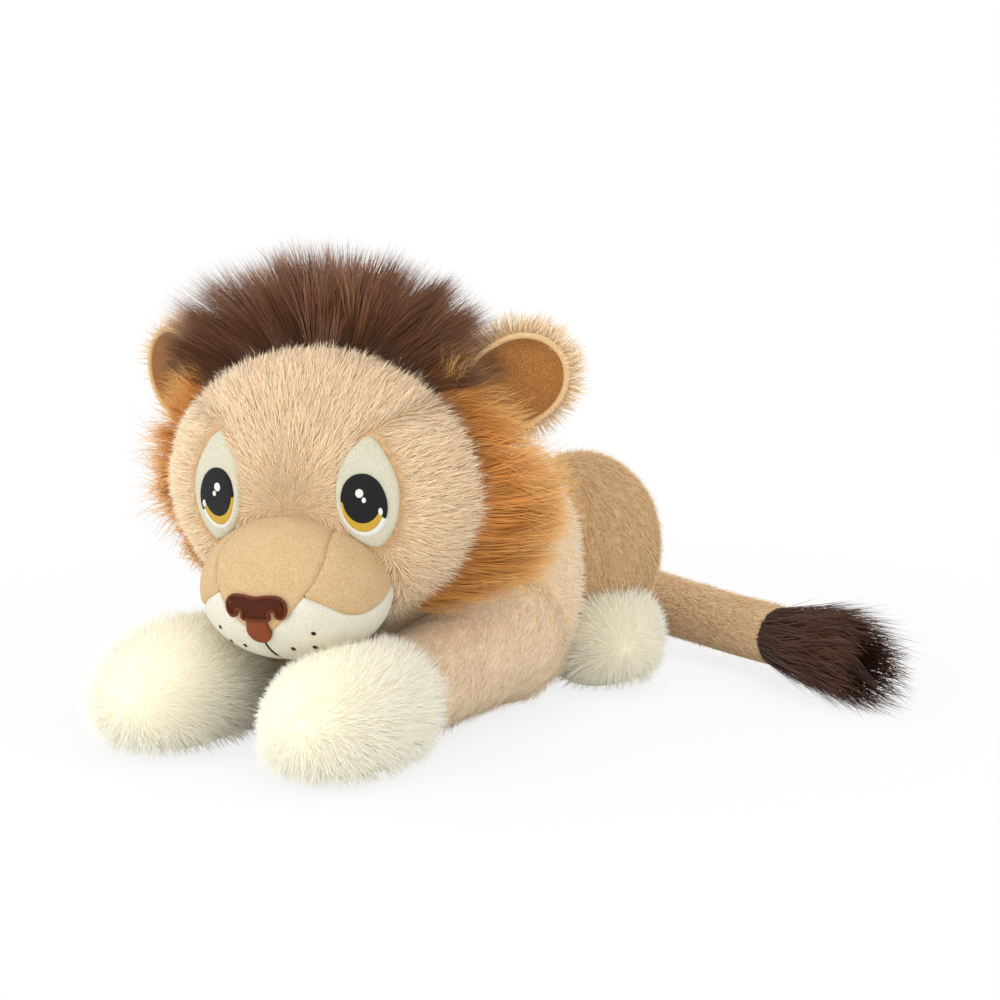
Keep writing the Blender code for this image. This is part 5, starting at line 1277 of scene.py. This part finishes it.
# Each layer: its name, outline, rise over the leaf, thread and slot, and the node that it stands for.
EYE_LAYERS = [("white", ellipse(*WHITE_MIDDLE, *WHITE), 1.0, white_thread, "white_thread", "white"),
              ("gold", ellipse(*IRIS_MIDDLE, *IRIS), 1.6, gold_thread, "gold_thread", "iris"),
              ("black", ellipse(*EYE, *PUPIL), 2.3, black_thread, "black_thread", "pupil"),
              ("lash", outline_through(LASH_OUTLINE, 84), 2.4, black_thread, "black_thread", "")]
for side, word in SIDES:
    def place(x, z, lift, side=side):
        return on_face(x * side, z, lift)

    leaf = outline_through(shaped(EYE_OUTLINE_SHARES, PATCH_MIDDLE.x, PATCH_MIDDLE.y, PATCH_HALF), 90)
    pillow(f"eye_{word}_leaf", leaf, place, PATCH_BED, PATCH_TOP - PATCH_BED, cream_velour, "cream_velour",
           [f"eye_{word}_patch"])
    bed = PATCH_TOP - STITCH_LIFT
    for layer, outline, rise, thread, slot, node in EYE_LAYERS:
        pillow(f"eye_{word}_{layer}_satin", outline, place, bed, STITCH_LIFT + THREAD_RISE * rise, thread,
               slot, [f"eye_{word}_{node}"] if node else ())
    for number, (x, z, across, up) in enumerate(GLINTS, 1):
        pillow(f"eye_{word}_glint_satin_{number}", ellipse(x, z, across, up, 24), place, bed,
               STITCH_LIFT + THREAD_RISE * GLINT_RISE, white_thread, "white_thread",
               [f"eye_{word}_glint"] if number == 1 else ())

# Stage: a white floor that keeps the toy's shadow, plain soft light from the left, the right and above, and a
# camera at the photograph's angle.
TARGET = Vector((0.0608, -0.0453, 0.1595))
CAMERA_DISTANCE = 1.85
CAMERA_AZIMUTH = math.radians(30)
CAMERA_ELEVATION = math.radians(10)
FOCAL_LENGTH_MM = 83.25
SENSOR_MM = 36
FLOOR_HALF = 6.0
FLOOR_COLOUR = (0.86, 0.86, 0.85, 1)
FLOOR_SHADE_SHARE = 0.17
FLOOR_FADE = (0.35, 0.80)
WORLD_STRENGTH = 0.80
# Each lamp: its name, its place, its size in metres and its power in watts.
LAMPS = (("key", (-0.9, -2.0, 1.0), 1.8, 22), ("fill", (1.8, -1.2, 0.9), 1.6, 9),
         ("top", (0.1, 0.3, 2.2), 1.6, 9))


def seen_directly(tree):
    """A factor that is 1 for what the camera sees straight, mirrored or through glass."""
    path = add(tree, "ShaderNodeLightPath").outputs
    first = add(tree, "ShaderNodeMath", {0: path["Is Camera Ray"], 1: path["Is Glossy Ray"]},
                operation="MAXIMUM")
    return add(tree, "ShaderNodeMath", {0: first, 1: path["Is Transmission Ray"]}, operation="MAXIMUM")


# Matt white card: it shows as pure white to the camera, apart from the shadow near the toy.
floor_material = bpy.data.materials.new("white_floor")
floor_material.use_nodes = True
tree = floor_material.node_tree
tree.nodes.clear()
lit = add(tree, "ShaderNodeBsdfDiffuse", {"Color": FLOOR_COLOUR})
white = add(tree, "ShaderNodeEmission", {"Color": (1, 1, 1, 1), "Strength": 1.0})
place = add(tree, "ShaderNodeTexCoord").outputs["Object"]
far = add(tree, "ShaderNodeVectorMath", {0: place}, operation="LENGTH").outputs["Value"]
fade = add(tree, "ShaderNodeMapRange",
           {"Value": far, "From Min": FLOOR_FADE[0], "From Max": FLOOR_FADE[1],
            "To Min": 1 - FLOOR_SHADE_SHARE, "To Max": 1.0}, interpolation_type="SMOOTHSTEP")
share = add(tree, "ShaderNodeMath", {0: seen_directly(tree), 1: fade}, operation="MULTIPLY")
mixed = add(tree, "ShaderNodeMixShader", {0: share, 1: lit, 2: white})
add(tree, "ShaderNodeOutputMaterial", {"Surface": mixed})
floor_data = bpy.data.meshes.new("floor")
corners = [(-FLOOR_HALF, -FLOOR_HALF, 0), (FLOOR_HALF, -FLOOR_HALF, 0), (FLOOR_HALF, FLOOR_HALF, 0),
           (-FLOOR_HALF, FLOOR_HALF, 0)]
floor_data.from_pydata(corners, [], [(0, 1, 2, 3)])
floor_data.materials.append(floor_material)
floor = bpy.data.objects.new("floor", floor_data)
bpy.context.scene.collection.objects.link(floor)
floor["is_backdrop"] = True

world = bpy.data.worlds.new("studio")
bpy.context.scene.world = world
world.use_nodes = True
tree = world.node_tree
strength = add(tree, "ShaderNodeMapRange",
               {"Value": seen_directly(tree), "To Min": WORLD_STRENGTH, "To Max": 1.0})
tree.links.new(strength.outputs[0], tree.nodes["Background"].inputs["Strength"])
tree.nodes["Background"].inputs["Color"].default_value = (1, 1, 1, 1)

for name, place, size, power in LAMPS:
    lamp = bpy.data.lights.new(name, "AREA")
    lamp.size = size
    lamp.energy = power
    light = bpy.data.objects.new(name, lamp)
    light.location = place
    light.rotation_euler = (TARGET - Vector(place)).to_track_quat("-Z", "Y").to_euler()
    bpy.context.scene.collection.objects.link(light)

lens = bpy.data.cameras.new("camera")
lens.sensor_width = SENSOR_MM
lens.lens = FOCAL_LENGTH_MM
camera = bpy.data.objects.new("camera", lens)
back = Vector((math.sin(CAMERA_AZIMUTH) * math.cos(CAMERA_ELEVATION),
               -math.cos(CAMERA_AZIMUTH) * math.cos(CAMERA_ELEVATION), math.sin(CAMERA_ELEVATION)))
camera.location = TARGET + back * CAMERA_DISTANCE
camera.rotation_euler = back.to_track_quat("Z", "Y").to_euler()
bpy.context.scene.collection.objects.link(camera)
bpy.context.scene.camera = camera
bpy.context.scene.view_settings.view_transform = "Standard"

low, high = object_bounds()
